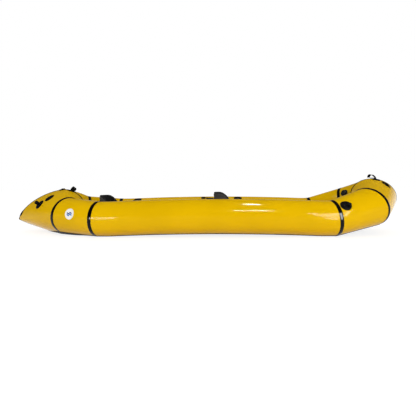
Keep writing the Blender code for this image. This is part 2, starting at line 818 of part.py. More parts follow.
def ladder_lock(name, frame):
    """A flat frame with three cross bars, that tilts about its outer bar."""
    xs = [0.0, BUCKLE_BAR]
    gap = (BUCKLE_LENGTH - 3 * BUCKLE_BAR) / 2
    for _ in range(2):
        xs += [xs[-1] + gap, xs[-1] + gap + BUCKLE_BAR]
    ys = [-BUCKLE_WIDTH / 2, -BUCKLE_WIDTH / 2 + BUCKLE_BAR,
          BUCKLE_WIDTH / 2 - BUCKLE_BAR, BUCKLE_WIDTH / 2]
    bm = bmesh.new()
    grid = [[bm.verts.new((x - BUCKLE_BAR / 2, y, 0)) for y in ys] for x in xs]
    for i in range(len(xs) - 1):
        for j in range(len(ys) - 1):
            if not (j == 1 and i in (1, 3)):
                bm.faces.new((grid[i][j], grid[i + 1][j], grid[i + 1][j + 1], grid[i][j + 1]))
    made = bmesh.ops.extrude_face_region(bm, geom=list(bm.faces))
    raised = [v for v in made["geom"] if isinstance(v, bmesh.types.BMVert)]
    bmesh.ops.translate(bm, verts=raised, vec=(0, 0, BUCKLE_THICKNESS))
    return add_object(name, bm, ((0.015, 0.015, 0.016), 0.4), frame)


def build_seating(skin):
    seats = {
        "front": (FRONT_SEAT_X, FRONT_BAND_X, FRONT_BAND_DEPTH, FRONT_BAND_TOP,
                  0.62, ("side_tube", 0.44, 112)),
        "rear": (REAR_SEAT_X, REAR_BAND_X, REAR_BAND_DEPTH, REAR_BAND_TOP,
                 0.095, ("stern_quarter", 0.70, 128)),
    }
    for name, (seat_x, back_x, depth, top, fore_share, aft_place) in seats.items():
        seat_cushion(f"{name}_seat", seat_x)
        backband(f"{name}_backband", back_x, depth, top, *BAND_WINGS[name])
        for side in (RIGHT, LEFT):
            end = SIDE_NAMES[side]
            anchor = skin_frame("side_tube", fore_share, 116, side)
            skin_patch(f"{name}_strap_anchor_{end}", anchor, ANCHOR_RADIUS, PATCH_HEIGHT, skin, 14)
            tip_x = back_x + BAND_THICKNESS / 2 + depth + FORE_TIP_AHEAD
            tip = mirrored(Vector((tip_x, -BAND_HALF_WIDTH - FORE_TIP_OUT, FORE_TIP_HEIGHT)), side)
            over = anchor @ Vector((0, 0, PATCH_HEIGHT + BUCKLE_LIFT))
            buckle_frame = frame_of(over, anchor.to_3x3() @ Vector((0, 0, 1)), tip - over)
            ladder_lock(f"{name}_buckle_{end}", buckle_frame)
            start = buckle_frame @ Vector((BUCKLE_LENGTH, 0, BUCKLE_THICKNESS / 2))
            flat = buckle_frame.to_3x3() @ Vector((0, 1, 0))
            strap(f"{name}_fore_strap_{end}", sagging(start, tip, FORE_SAG), twisting(flat, UP))
        behind = Vector((back_x - BAND_THICKNESS, 0, top - AFT_DROP))
        shoulder = Vector((back_x, 0, top)) + AFT_SHOULDER
        tail_frame = skin_frame(*aft_place, RIGHT)
        tail = tail_frame @ Vector((0, 0, AFT_TAIL_LIFT))
        flat = (tail_frame.to_3x3() @ UP).cross(shoulder - tail).normalized()
        right = sagging(tail, shoulder, AFT_SAG)
        widths = twisting(flat, UP)
        route = right + [behind] + [mirrored(p, LEFT) for p in reversed(right)]
        mirror_widths = [mirrored(w, LEFT) for w in reversed(widths)]
        strap(f"{name}_aft_strap", route, widths + [UP] + mirror_widths)


# Valves

def lathe(profile, count=24):
    """Turn a closed outline of (radius, height) points round Z. Radius 0 closes at the axis."""
    bm = bmesh.new()
    rings = []
    for radius, z in profile:
        if radius == 0:
            rings.append([bm.verts.new((0, 0, z))])
        else:
            rings.append([bm.verts.new((radius * math.cos(a), radius * math.sin(a), z))
                          for a in ring_angles(count)])
    on_axis = profile[0][0] == 0
    pairs = list(zip(rings, rings[1:] + ([] if on_axis else rings[:1])))
    for low, high in pairs:
        for i in range(count):
            k = (i + 1) % count
            if len(low) == 1:
                bm.faces.new((low[0], high[i], high[k]))
            elif len(high) == 1:
                bm.faces.new((low[i], low[k], high[0]))
            else:
                bm.faces.new((low[i], low[k], high[k], high[i]))
    return bm


def build_main_valve():
    """A push-button one-way valve under a quarter-turn cap."""
    skin_place = skin_frame("bow_center", 0.40, 157, LEFT)
    lift = 0.0052
    frame = skin_place @ Matrix.Translation((0, 0, lift))
    base = [(VALVE_BORE_RADIUS, -0.0030), (VALVE_FLANGE_RADIUS, -0.0030), (VALVE_FLANGE_RADIUS, 0),
            (VALVE_COLLAR_RADIUS, 0.0015), (VALVE_COLLAR_RADIUS, VALVE_HEIGHT),
            (VALVE_BORE_RADIUS, VALVE_HEIGHT), (VALVE_BORE_RADIUS, VALVE_PLATE_HIGH),
            (VALVE_GUIDE_RADIUS, VALVE_PLATE_HIGH), (VALVE_GUIDE_RADIUS, VALVE_PLATE_LOW),
            (VALVE_BORE_RADIUS, VALVE_PLATE_LOW)]
    add_object("valve_base", lathe(base), ((0.02, 0.02, 0.02), 0.4), frame)
    poppet = [(0, 0.0035), (VALVE_STEM_RADIUS, 0.0035), (VALVE_STEM_RADIUS, 0.0115),
              (POPPET_RADIUS, 0.0115), (POPPET_RADIUS, 0.0130), (0.0060, 0.0130),
              (0.0055, 0.0155), (0, 0.0155)]
    add_object("valve_poppet", lathe(poppet, 20), ((0.35, 0.02, 0.02), 0.4), frame)
    cap_top = VALVE_HEIGHT + 0.0040
    skirt = VALVE_COLLAR_RADIUS + 0.0006
    cap = [(0, VALVE_HEIGHT + 0.0006), (skirt, VALVE_HEIGHT + 0.0006), (skirt, 0.0040),
           (CAP_RADIUS, 0.0040), (CAP_RADIUS, cap_top - 0.0015), (CAP_RADIUS - 0.0015, cap_top),
           (0, cap_top)]
    add_object("valve_cap", lathe(cap), ((0.02, 0.02, 0.02), 0.35), frame)


def build_seat_valves():
    """A twist knob on the front edge of each seat."""
    for name, seat_x in (("front", FRONT_SEAT_X), ("rear", REAR_SEAT_X)):
        x = seat_x + SEAT_LENGTH / 2 + 0.0015
        z = keel_height(seat_x + SEAT_LENGTH / 2) + SEAT_SEAM_HEIGHT
        frame = frame_of(Vector((x, 0, z)), Vector((1, 0, 0)), Vector((0, 0, 1)))
        knob = [(0, 0), (0.012, 0), (0.012, 0.0015), (0.0055, 0.0025), (0.0055, 0.006),
                (0.0085, 0.007), (0.0085, 0.018), (0.0070, 0.0195), (0, 0.0195)]
        add_object(f"{name}_seat_valve_knob", lathe(knob, 16), ((0.02, 0.02, 0.02), 0.4), frame)


def main():
    clear_scene()
    build_tubes()
    build_tapes()
    build_floor()
    skin = skin_cutters(SKIN_GAP)
    seam = skin_cutters(SEAM_GAP)
    build_tie_downs(skin, seam)
    build_seating(skin)
    build_main_valve()
    build_seat_valves()


main()
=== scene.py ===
"""Looks of a two-seat packraft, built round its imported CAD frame.

Metres, +Z up. +X is the bow, -Y the right-hand side, and Z = 0 the ground under the floor sheet.
"""
import json
import math

import bmesh
import bpy
import numpy as np
from mathutils import Matrix, Vector
from mathutils.bvhtree import BVHTree


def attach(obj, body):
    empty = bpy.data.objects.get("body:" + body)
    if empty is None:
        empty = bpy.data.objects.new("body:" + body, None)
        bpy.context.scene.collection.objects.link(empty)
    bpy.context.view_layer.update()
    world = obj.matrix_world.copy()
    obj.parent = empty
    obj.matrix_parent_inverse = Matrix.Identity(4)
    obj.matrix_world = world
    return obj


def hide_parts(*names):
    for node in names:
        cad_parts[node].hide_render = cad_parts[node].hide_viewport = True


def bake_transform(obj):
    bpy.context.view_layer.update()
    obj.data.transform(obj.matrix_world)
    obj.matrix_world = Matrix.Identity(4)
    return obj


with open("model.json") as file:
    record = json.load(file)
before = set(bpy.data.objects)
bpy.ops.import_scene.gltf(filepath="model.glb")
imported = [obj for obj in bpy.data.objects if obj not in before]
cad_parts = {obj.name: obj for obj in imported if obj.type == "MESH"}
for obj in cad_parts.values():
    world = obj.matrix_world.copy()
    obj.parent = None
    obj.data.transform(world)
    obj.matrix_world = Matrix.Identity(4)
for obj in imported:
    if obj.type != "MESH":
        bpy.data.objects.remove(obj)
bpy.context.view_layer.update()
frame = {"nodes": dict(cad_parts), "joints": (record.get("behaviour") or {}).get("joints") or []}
NODES = frame["nodes"]
JOINTS = {joint["child"]: joint for joint in frame["joints"]}
HULL = "hull"
RIGHT, LEFT = -1, 1
SIDES = {"right": RIGHT, "left": LEFT}
MIRROR = np.array([1.0, -1.0, 1.0])
UP = np.array([0.0, 0.0, 1.0])

# The photograph's camera
IMAGE_WIDTH = 416
FOCAL_PIXELS = 312.8551
SENSOR_WIDTH = 36.0
CAMERA_PLACE = (0.0868, -2.8312, 0.4026)
CAMERA_YAW, CAMERA_PITCH, CAMERA_ROLL = -0.02124, 0.0690, 0.0047

# Studio
ROOM_LIGHT = 0.66
COVE_TOP, STUDIO_DARK = (0.035, 0.24), 0.07
FLOOR_GLOW, FLOOR_GLOW_SHARE = 1.25, 0.66
TWIN_DISTANCE = 1.02

# Hull ring, as in the part's source
TUBE_RADIUS = 0.140
HALF_TRACK = 0.320
TUBE_HEIGHT = 0.1437
ROCKER_RISE = 0.0174
LEVEL_LENGTH = 0.100
SIDE_BOW_X = 1.033
SIDE_STERN_X = -0.856
BOW_JOINT = np.array([1.3535, -0.235, 0.2273])
BOW_JOINT_RADIUS = 0.1595
BOW_CENTER = np.array([1.5133, 0, 0.3136])
BOW_HALF_LENGTH, BOW_HALF_HEIGHT, BOW_TILT = 0.204, 0.147, -0.238
STERN_JOINT = np.array([-1.159, -0.203, 0.1607])
STERN_JOINT_RADIUS = 0.151
NOSE_X, NOSE_Z = -1.7144, 0.109
CREST_X, CREST_Z = -1.277, 0.382
KEEL_X, KEEL_Z = -1.457, 0.0137
THROAT_X, THROAT_Z = -1.116, 0.2714
CREST_POWER, KEEL_POWER, THROAT_POWER = 1.58, 1.13, 1.60
CENTER_BULGE = 0.008
TAPE_HALF = 0.015
FACETS = 144
ROW_STEP = 0.032

# Coated fabric
SKIN_WALL = 0.0006
PUCKER_DEPTH = 0.0016
PUCKER_REACH = 0.035
PUCKER_COUNT = 21
TAPE_UNDER = 0.0002
TAPE_PROFILE = (0.0006, 0.0011, 0.0012, 0.0011, 0.0006)
FLOOR_UNDER, FLOOR_TOP = 0.0016, 0.0030
FLOOR_WRAP_SIDE, FLOOR_WRAP_STERN, FLOOR_WRAP_BOW = 20.0, 33.0, 17.0
FLOOR_BOW_SHARE = 0.42
FLOOR_SAG, FLOOR_SAG_AFT, FLOOR_SAG_FORE = 0.009, (-1.27, -1.19), (-1.10, -0.92)
FLOOR_WAVE, FLOOR_SETTLE, GROUND_GAP = 0.0012, 0.10, 0.0002
FLOOR_AFT_SHARES = (0.0, 0.25, 0.5, 0.75, 1.0)
FLOOR_AFT_WRAPS = (33.0, 33.0, 22.0, 12.0, 4.0)

# Webbing, patches and labels
PATCH_TOP, PATCH_RADIUS, STERN_TOP_RADIUS, ANCHOR_RADIUS, END_RADIUS = 0.0018, 0.044, 0.038, 0.040, 0.024
DISC_SPOKES, DISC_RIM, DISC_GROOVE = 56, 0.93, 0.80
DISC_SHARES = (0.05, 0.10, 0.15, 0.20, 0.26, 0.32, 0.38, 0.44, 0.52, 0.62, 0.72, 0.77, 0.80, 0.83, 0.88,
               0.93, 0.965, 1.0)
RIM_TOP, GROOVE_DEPTH, WELD_GAP = 0.0004, 0.0003, 0.00005
STITCH_PITCH, STITCH_WIDE, STITCH_HIGH, STITCH_BOX = 0.0042, 0.00042, 0.00036, (0.0125, 0.0085)
WEB_WIDTH, WEB_THICKNESS = 0.022, 0.0021
LOOP_FOOT, LOOP_BASE, LOOP_GAP, LOOP_STEPS = 0.0020, 0.0022, 0.02, 64
PAD_SIDE, PAD_END, TAIL_HEIGHT, FOOT_REACH = (0.0105, 0.0145), (0.015, 0.019), 0.0011, 0.0042
LOOP_SIZE = (0.038, 0.028, (1.0, 1.0))
LOOP_SIZES = {"bow_top_loop": (0.085, 0.040, (0.1, 1.3)), "stern_top_loop": (0.048, 0.036, (1.0, 1.0))}
LOOP_SKEWS = {"bow_top_loop": (0.0, -1.3), "stern_top_loop": (1.2, 0.0)}
CAD_LOOP_WALL, CAD_LOOP_STEPS, CAD_LOOP_LOW = 0.0024, 14, -0.0014
CAD_EYE_FOOT, CAD_EYE_LOW = 0.0012, 0.008
LYING_FOLD = ((-0.015, 0.9), (-0.006, 1.0), (0.006, 1.1), (0.0145, 1.6), (0.0178, 3.2), (0.0150, 5.0),
              (0.0085, 5.6), (0.0020, 4.8), (-0.0030, 3.1), (-0.0070, 2.6))
STRAP_WIDTH, STRAP_THICKNESS = 0.0185, 0.0014
STRAP_ROWS, AFT_STRAP_ROWS = 7, 15
BUCKLE_WRAP = ((46, 5.6), (36, 6.0), (26, 6.3), (17, 6.0), (10, 5.2), (6.0, 3.4), (6.6, 0.6), (10.7, -0.9),
               (15.0, 0.2), (17.6, 2.6), (20.5, 4.5), (24.5, 3.6))
TAB_WIDTH, TAB_THICKNESS = 0.0165, 0.0013
TAB_FOLD = ((-21, -2.1), (-9, -2.0), (-3, -1.3), (1.2, -0.9), (3.3, 0.5), (3.5, 2.4), (2.1, 4.2), (0, 4.5),
            (-2.4, 3.8), (-5, 1.4), (-9, -0.4), (-21, -0.7))
LABEL_PLACE, LABEL_RADII = (-1.063, -0.391, 0.191), (0.0425, 0.0445)
WAVES = ((-0.008, (0.03, 0.20, 0.55, 1)), (0.006, (0.01, 0.05, 0.25, 1)))
WAVE_TURNS, WAVE_SWING, WAVE_HALF, WAVE_REACH = 200.0, 0.0045, 0.0055, 0.024
NOSE_GUARD_PLACE, NOSE_GUARD_ALONG = (-1.688, 0.0, 0.169), (0.58, 0.0, 0.81)
NOSE_GUARD_RADII = (0.032, 0.020)
CREST_PATCH_PLACE, CREST_PATCH_RADIUS = (-1.300, 0.0, 0.384), 0.032

# Seats and backbands, as in the part's source
SEAT_LENGTH, SEAT_WIDTH, SEAT_SEAM_HEIGHT, SEAT_CROWN = 0.340, 0.310, 0.030, 0.042
SEAT_RIM, SEAT_CHANNELS, CHANNEL_DEPTH = 0.008, 3, 0.016
SEAT_GRID = (60, 54)
RIM_HALF, RIM_PROFILE = 0.0007, ((-0.25, 0), (0.2, 0), (0.6, -0.0006), (1.0, -0.0015))
FRONT_SEAT_X, REAR_SEAT_X = 0.300, -0.705
BAND_HALF_WIDTH, BAND_THICKNESS, BAND_BOTTOM = 0.135, 0.016, 0.125
BAND_WING_LIFT = 0.040
BAND_RIBS = 5
BINDING_PROFILE = ((0.0105, 1.0), (0.006, 1.0), (0.002, 0.95), (-0.0012, 0.6), (-0.0020, 0.0),
                   (-0.0012, -0.6), (0.002, -0.95), (0.006, -1.0), (0.0105, -1.0))
FRONT_BAND = (0.079, 0.123, 0.353, 0.298, 3.0)
REAR_BAND = (-0.950, 0.100, 0.329, 0.262, 2.2)
CLOTH_FRAMES, SEAT_AIR, BAND_AIR = 20, (3.0, 0.016), (2.0, 0.0035)


# Small vector helpers

def unit(vector):
    vector = np.asarray(vector, float)
    return vector / np.linalg.norm(vector, axis=-1, keepdims=True)


def smooth_step(value, low, high):
    share = np.clip((np.asarray(value, float) - low) / (high - low), 0, 1)
    return share * share * (3 - 2 * share)


def running_length(points):
    steps = np.linalg.norm(np.diff(points, axis=0), axis=1)
    return np.concatenate([[0], np.cumsum(steps)])


def square_to(vectors, axes):
    """The part of each vector at right angles to its unit axis."""
    return vectors - (vectors * axes).sum(axis=-1, keepdims=True) * axes


def axes_frame(origin, x, y, z):
    """A frame from its origin and the directions of its axes."""
    return Matrix.Translation(Vector(origin)) @ Matrix((x, y, z)).transposed().to_4x4()


def axis_of(place, number):
    return place.to_3x3().col[number].copy()


def assign(target, values):
    for key, value in values.items():
        setattr(target, key, value)


# Materials

def add_node(tree, kind, values=None, **settings):
    """A shader node with its settings, and its sockets linked or set."""
    made = tree.nodes.new(kind)
    assign(made, settings)
    set_inputs(tree, made, values or {})
    return made


def set_inputs(tree, node, values):
    for key, value in values.items():
        if isinstance(value, bpy.types.NodeSocket):
            tree.links.new(value, node.inputs[key])
        else:
            node.inputs[key].default_value = value


def new_material(name, values):
    made = bpy.data.materials.new(name)
    made.use_nodes = True
    tree = made.node_tree
    shader = tree.nodes["Principled BSDF"]
    set_inputs(tree, shader, values)
    return made, tree, shader


def ramp(tree, source, low, high, first=0.0, last=1.0):
    """Stretch part of a value's range to another range."""
    made = add_node(tree, "ShaderNodeMapRange", {"Value": source, "From Min": low, "From Max": high,
                                                 "To Min": first, "To Max": last})
    return made.outputs["Result"]


def noise(tree, vector, scale, detail=3.0, roughness=0.5):
    made = add_node(tree, "ShaderNodeTexNoise", {"Vector": vector, "Scale": scale, "Detail": detail,
                                                 "Roughness": roughness})
    return made.outputs["Fac"]


def mix_color(tree, share, first, last):
    return add_node(tree, "ShaderNodeMix", {0: share, 6: first, 7: last}, data_type="RGBA").outputs[2]


def math_node(tree, operation, first, second=0.0):
    return add_node(tree, "ShaderNodeMath", {0: first, 1: second}, operation=operation).outputs[0]


def average(tree, first, second):
    return math_node(tree, "MULTIPLY", math_node(tree, "ADD", first, second), 0.5)


def bump(tree, height, distance, under=None):
    values = {"Height": height, "Distance": distance, "Strength": 1.0}
    if under is not None:
        values["Normal"] = under
    return add_node(tree, "ShaderNodeBump", values).outputs["Normal"]


def threads(tree, vector, pitch, direction):
    """Rounded ridges with a pitch in metres."""
    made = add_node(tree, "ShaderNodeTexWave", {"Vector": vector, "Scale": math.pi / 10 / pitch,
                                                "Distortion": 0.4, "Detail": 1.0, "Detail Scale": 2.0},
                    wave_type="BANDS", bands_direction=direction)
    return made.outputs["Fac"]


def weave(tree, vector, pitch):
    """A plain weave, from warp and weft ridges that pass over each other."""
    return average(tree, threads(tree, vector, pitch, "X"), threads(tree, vector, pitch, "Y"))


def uv_vector(tree):
    return add_node(tree, "ShaderNodeTexCoord").outputs["UV"]


def object_vector(tree):
    return add_node(tree, "ShaderNodeTexCoord").outputs["Object"]


def component(tree, vector, axis):
    return add_node(tree, "ShaderNodeSeparateXYZ", {"Vector": vector}).outputs[axis]


def pointiness(tree):
    return add_node(tree, "ShaderNodeNewGeometry").outputs["Pointiness"]


def coated_fabric(name, colors, roughness, thread, scuff_color, scuff_height, shine, relief=0.00003):
    """Coated nylon: a smooth film over a fine weave, cloudy, and scuffed where it touches the ground."""
    made, tree, shader = new_material(name, {"Specular IOR Level": shine})
    place, flat = object_vector(tree), uv_vector(tree)
    clouds = ramp(tree, noise(tree, place, 3.5, 4.0), 0.35, 0.65)
    low = ramp(tree, component(tree, place, "Z"), scuff_height, 0.0)
    specks = ramp(tree, noise(tree, place, 55.0, 6.0, 0.7), 0.52, 0.70)
    wear = math_node(tree, "MULTIPLY", low, specks)
    color = mix_color(tree, wear, mix_color(tree, clouds, *colors), scuff_color)
    dull = ramp(tree, noise(tree, place, 9.0, 5.0), 0.3, 0.7, *roughness)
    dull = math_node(tree, "ADD", dull, math_node(tree, "MULTIPLY", wear, 0.25))
    slack = bump(tree, noise(tree, place, 7.0, 2.0), 0.0004)
    surface = bump(tree, weave(tree, flat, thread), relief, slack)
    set_inputs(tree, shader, {"Base Color": color, "Roughness": dull, "Normal": surface})
    return made


def rough_textile(name, colors, thread, roughness=0.85, relief=0.0004):
    """Uncoated woven cloth with lint on its ridges."""
    made, tree, shader = new_material(name, {"Sheen Weight": 0.05, "Sheen Roughness": 0.5,
                                             "Specular IOR Level": 0.1})
    flat, place = uv_vector(tree), object_vector(tree)
    pattern = weave(tree, flat, thread)
    lint = ramp(tree, noise(tree, place, 180.0, 4.0, 0.8), 0.62, 0.80, 0.0, 0.35)
    color = mix_color(tree, lint, mix_color(tree, pattern, colors[0], colors[1]), colors[2])
    dull = ramp(tree, noise(tree, place, 30.0), 0.3, 0.7, roughness - 0.08, roughness + 0.08)
    set_inputs(tree, shader, {"Base Color": color, "Roughness": dull, "Normal": bump(tree, pattern, relief)})
    return made


def webbing(name, colors):
    """Flat webbing: ribs across its width, a herringbone of fine threads, and paler edges that are a painted
    highlight.
    """
    made, tree, shader = new_material(name, {"Specular IOR Level": 0.02})
    flat, place = uv_vector(tree), object_vector(tree)
    pattern = average(tree, threads(tree, flat, 0.0014, "X"), threads(tree, flat, 0.0022, "DIAGONAL"))
    fuzz = ramp(tree, noise(tree, place, 220.0, 4.0, 0.8), 0.60, 0.80, 0.0, 0.3)
    color = mix_color(tree, fuzz, mix_color(tree, pattern, colors[0], colors[1]), colors[2])
    # The edges, found by pointiness, take the paler grey: a painted highlight where light catches them.
    color = mix_color(tree, ramp(tree, pointiness(tree), 0.53, 0.60), color, colors[3])
    dull = ramp(tree, pattern, 0.0, 1.0, 0.85, 0.6)
    set_inputs(tree, shader, {"Base Color": color, "Roughness": dull, "Normal": bump(tree, pattern, 0.0005)})
    return made


def moulded_plastic(name, colors, roughness=0.4):
    """Moulded nylon: fine pebble, faint flow marks and worn, paler edges."""
    made, tree, shader = new_material(name, {"Specular IOR Level": 0.2})
    place = object_vector(tree)
    flow = noise(tree, place, 60.0, 2.0)
    worn = math_node(tree, "MULTIPLY", ramp(tree, pointiness(tree), 0.52, 0.60),
                     ramp(tree, noise(tree, place, 140.0, 4.0), 0.4, 0.7))
    color = mix_color(tree, worn, mix_color(tree, flow, colors[0], colors[1]), colors[2])
    dull = ramp(tree, flow, 0.3, 0.7, roughness - 0.06, roughness + 0.10)
    pebble = bump(tree, noise(tree, place, 900.0, 2.0), 0.00006)
    set_inputs(tree, shader, {"Base Color": color, "Roughness": dull, "Normal": pebble})
    return made


def gray(value):
    return (value, value, value * 1.03, 1.0)


YELLOW_FABRIC = coated_fabric("yellow_coated_fabric", ((0.800, 0.475, 0.0008, 1), (0.745, 0.440, 0.0005, 1)),
                              (0.05, 0.09), 0.0007, (0.42, 0.27, 0.02, 1), 0.04, 0.06, 0.000004)
BLACK_TAPE = coated_fabric("black_seam_tape", (gray(0.0015), gray(0.003)), (0.06, 0.10), 0.0008,
                           gray(0.05), 0.04, 0.16, 0.000006)
FLOOR_FABRIC = coated_fabric("black_floor_fabric", (gray(0.004), gray(0.008)), (0.42, 0.58), 0.0013,
                             gray(0.07), 0.012, 0.12)
PATCH_FABRIC = coated_fabric("black_patch_fabric", (gray(0.0015), gray(0.004)), (0.30, 0.46), 0.0009,
                             gray(0.05), 0.04, 0.03)
# Its fourth grey is the painted highlight on the webbing's edges.
WEBBING = webbing("black_webbing", (gray(0.002), gray(0.009), gray(0.04), gray(0.07)))
SEAT_CLOTH = rough_textile("seat_cover_cloth", (gray(0.010), gray(0.025), gray(0.08)), 0.0010)
BAND_CLOTH = rough_textile("backband_cloth", (gray(0.036), gray(0.070), gray(0.16)), 0.0030)
# The liner's near-black is partly the mesh's own black and partly painted shade on the face turned from the
# light.
BAND_MESH_AND_SHADE = rough_textile("backband_liner_painted_shade", (gray(0.001), gray(0.003), gray(0.02)), 0.0024, 0.9, 0.0008)
PLASTIC = moulded_plastic("black_nylon", (gray(0.004), gray(0.007), gray(0.03)), 0.45)
THREAD = rough_textile("stitching_thread", (gray(0.09), gray(0.16), gray(0.25)), 0.0004, 0.7, 0.0001)


def label_vinyl():
    """White vinyl with two generic wave lines."""
    made, tree, shader = new_material("white_label_vinyl", {"Specular IOR Level": 0.4})
    x, y = (component(tree, uv_vector(tree), axis) for axis in "XY")
    wave = math_node(tree, "SINE", math_node(tree, "MULTIPLY", x, WAVE_TURNS))
    line = math_node(tree, "SUBTRACT", y, math_node(tree, "MULTIPLY", wave, WAVE_SWING))
    color = (0.88, 0.88, 0.88, 1)
    for level, ink in WAVES:
        gap = math_node(tree, "ABSOLUTE", math_node(tree, "SUBTRACT", line, level))
        inked = math_node(tree, "LESS_THAN", gap, WAVE_HALF)
        inside = math_node(tree, "LESS_THAN", math_node(tree, "ABSOLUTE", x), WAVE_REACH)
        color = mix_color(tree, math_node(tree, "MULTIPLY", inked, inside), color, ink)
    aged = ramp(tree, noise(tree, object_vector(tree), 40.0, 4.0), 0.5, 0.8, 0.0, 0.15)
    color = mix_color(tree, aged, color, (0.72, 0.70, 0.64, 1))
    set_inputs(tree, shader, {"Base Color": color, "Roughness": ramp(tree, aged, 0.0, 0.15, 0.28, 0.45)})
    return made


LABEL_VINYL = label_vinyl()
POPPET_PLASTIC = moulded_plastic("red_poppet_nylon", ((0.30, 0.012, 0.010, 1), (0.36, 0.02, 0.015, 1),
                                                      (0.5, 0.1, 0.08, 1)))


# Meshes

def stand_in(made, node):
    """A new piece takes the place of a CAD node, which is hidden."""
    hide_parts(node)


def mesh_piece(name, points, faces, finish, body=HULL, uvs=None, sharp=40.0):
    """A named object from points and faces, with a UV for each corner of its faces, in metres."""
    mesh = bpy.data.meshes.new(name)
    mesh.from_pydata(np.asarray(points, float).tolist(), [], faces)
    if uvs is not None:
        layer = mesh.uv_layers.new(name="UVMap")
        layer.data.foreach_set("uv", np.asarray(uvs, np.float32).ravel())
    mesh.shade_smooth()
    mesh.set_sharp_from_angle(angle=math.radians(sharp))
    mesh.materials.append(finish)
    made = bpy.data.objects.new(name, mesh)
    bpy.context.scene.collection.objects.link(made)
    if body is not None:
        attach(made, body)
    return made


def grid_shell(name, top, under, finish, node=None, body=HULL, around=True, flip=False):
    """A sheet with thickness, from two grids of points of the same shape. It may stand in for a node."""
    rows, columns = top.shape[:2]
    end, edge = rows - 1, columns - 1
    spans = columns if around else edge
    lengthwise = running_length(top.mean(axis=1) if around else top[:, columns // 2])
    middle = top[rows // 2]
    crosswise = running_length(np.concatenate([middle, middle[:1]]))
    faces, uvs = [], []

    def quad(*corners):
        ordered = corners[::-1] if flip else corners
        faces.append([(layer * rows + j) * columns + i % columns for layer, j, i in ordered])
        uvs.extend((lengthwise[j], crosswise[i]) for layer, j, i in ordered)

    for j in range(end):
        for i in range(spans):
            quad((0, j, i), (0, j, i + 1), (0, j + 1, i + 1), (0, j + 1, i))
            quad((1, j, i), (1, j + 1, i), (1, j + 1, i + 1), (1, j, i + 1))
    for i in range(spans):
        quad((0, 0, i), (1, 0, i), (1, 0, i + 1), (0, 0, i + 1))
        quad((0, end, i), (0, end, i + 1), (1, end, i + 1), (1, end, i))
    for j in range(0 if around else end):
        quad((0, j, 0), (0, j + 1, 0), (1, j + 1, 0), (1, j, 0))
        quad((0, j, edge), (1, j, edge), (1, j + 1, edge), (0, j + 1, edge))
    points = np.concatenate([top.reshape(-1, 3), under.reshape(-1, 3)])
    made = mesh_piece(name, points, faces, finish, body, uvs)
    if node:
        stand_in(made, node)


# Hull surface of the right half, as rows of points from the stern's centreline to the bow's

ANGLES = math.tau * np.arange(FACETS) / FACETS
COS, SIN = np.cos(ANGLES), np.sin(ANGLES)


def tube_ring(center, along, radius, miter):
    """Where a round tube running along a direction meets the plane of its joint."""
    outboard = unit(np.cross(along, UP))
    up = np.cross(outboard, along)
    spokes = radius * (np.outer(COS, outboard) + np.outer(SIN, up))
    slip = -(spokes @ miter) / (along @ miter)
    return center + spokes + slip[:, None] * along


def bow_seam_ring():
    """A tilted ellipse."""
    along = np.array([math.cos(BOW_TILT), 0, math.sin(BOW_TILT)])
    upward = np.array([-math.sin(BOW_TILT), 0, math.cos(BOW_TILT)])
    return BOW_CENTER + np.outer(BOW_HALF_LENGTH * COS, along) + np.outer(BOW_HALF_HEIGHT * SIN, upward)


def stern_seam_ring():
    """Four superellipse quarters between the nose, crest, throat and keel points."""
    points = []
    for aft, up in zip(COS, SIN):
        upper = up >= 0
        mid_x, far_z = (CREST_X, CREST_Z) if upper else (KEEL_X, KEEL_Z)
        if aft < 0:
            end_x, mid_z, power = THROAT_X, THROAT_Z, THROAT_POWER
        else:
            end_x, mid_z, power = NOSE_X, NOSE_Z, CREST_POWER if upper else KEEL_POWER
        x = mid_x + (end_x - mid_x) * abs(aft) ** (2 / power)
        z = mid_z + (far_z - mid_z) * abs(up) ** (2 / power)
        points.append((x, 0, z))
    return np.array(points)


def rocker(x):
    share = np.clip((x - SIDE_STERN_X - LEVEL_LENGTH) / (SIDE_BOW_X - SIDE_STERN_X - 2 * LEVEL_LENGTH), 0, 1)
    return ROCKER_RISE * (1 - (2 * share - 1) ** 2)


def length_rows(first, last, bulge):
    """Rows of one fabric length, with the tape's edges at their true distance from both joints."""
    span = last - first
    lengths = np.linalg.norm(span, axis=1)
    count = max(2, round(float(lengths.mean()) / ROW_STEP))
    half, edge = TAPE_HALF / 2 / lengths, TAPE_HALF / lengths
    shares = [0 * lengths, half, edge]
    shares += [edge + (1 - 2 * edge) * k / count for k in range(1, count)]
    shares += [1 - edge, 1 - half, 1 + 0 * lengths]
    rows = []
    for share in shares:
        row = first + span * share[:, None]
        if bulge:
            outward = unit(square_to(row - row.mean(axis=0), unit(span)))
            row = row + outward * (bulge * 4 * share * (1 - share))[:, None]
        rows.append(row)
    return rows


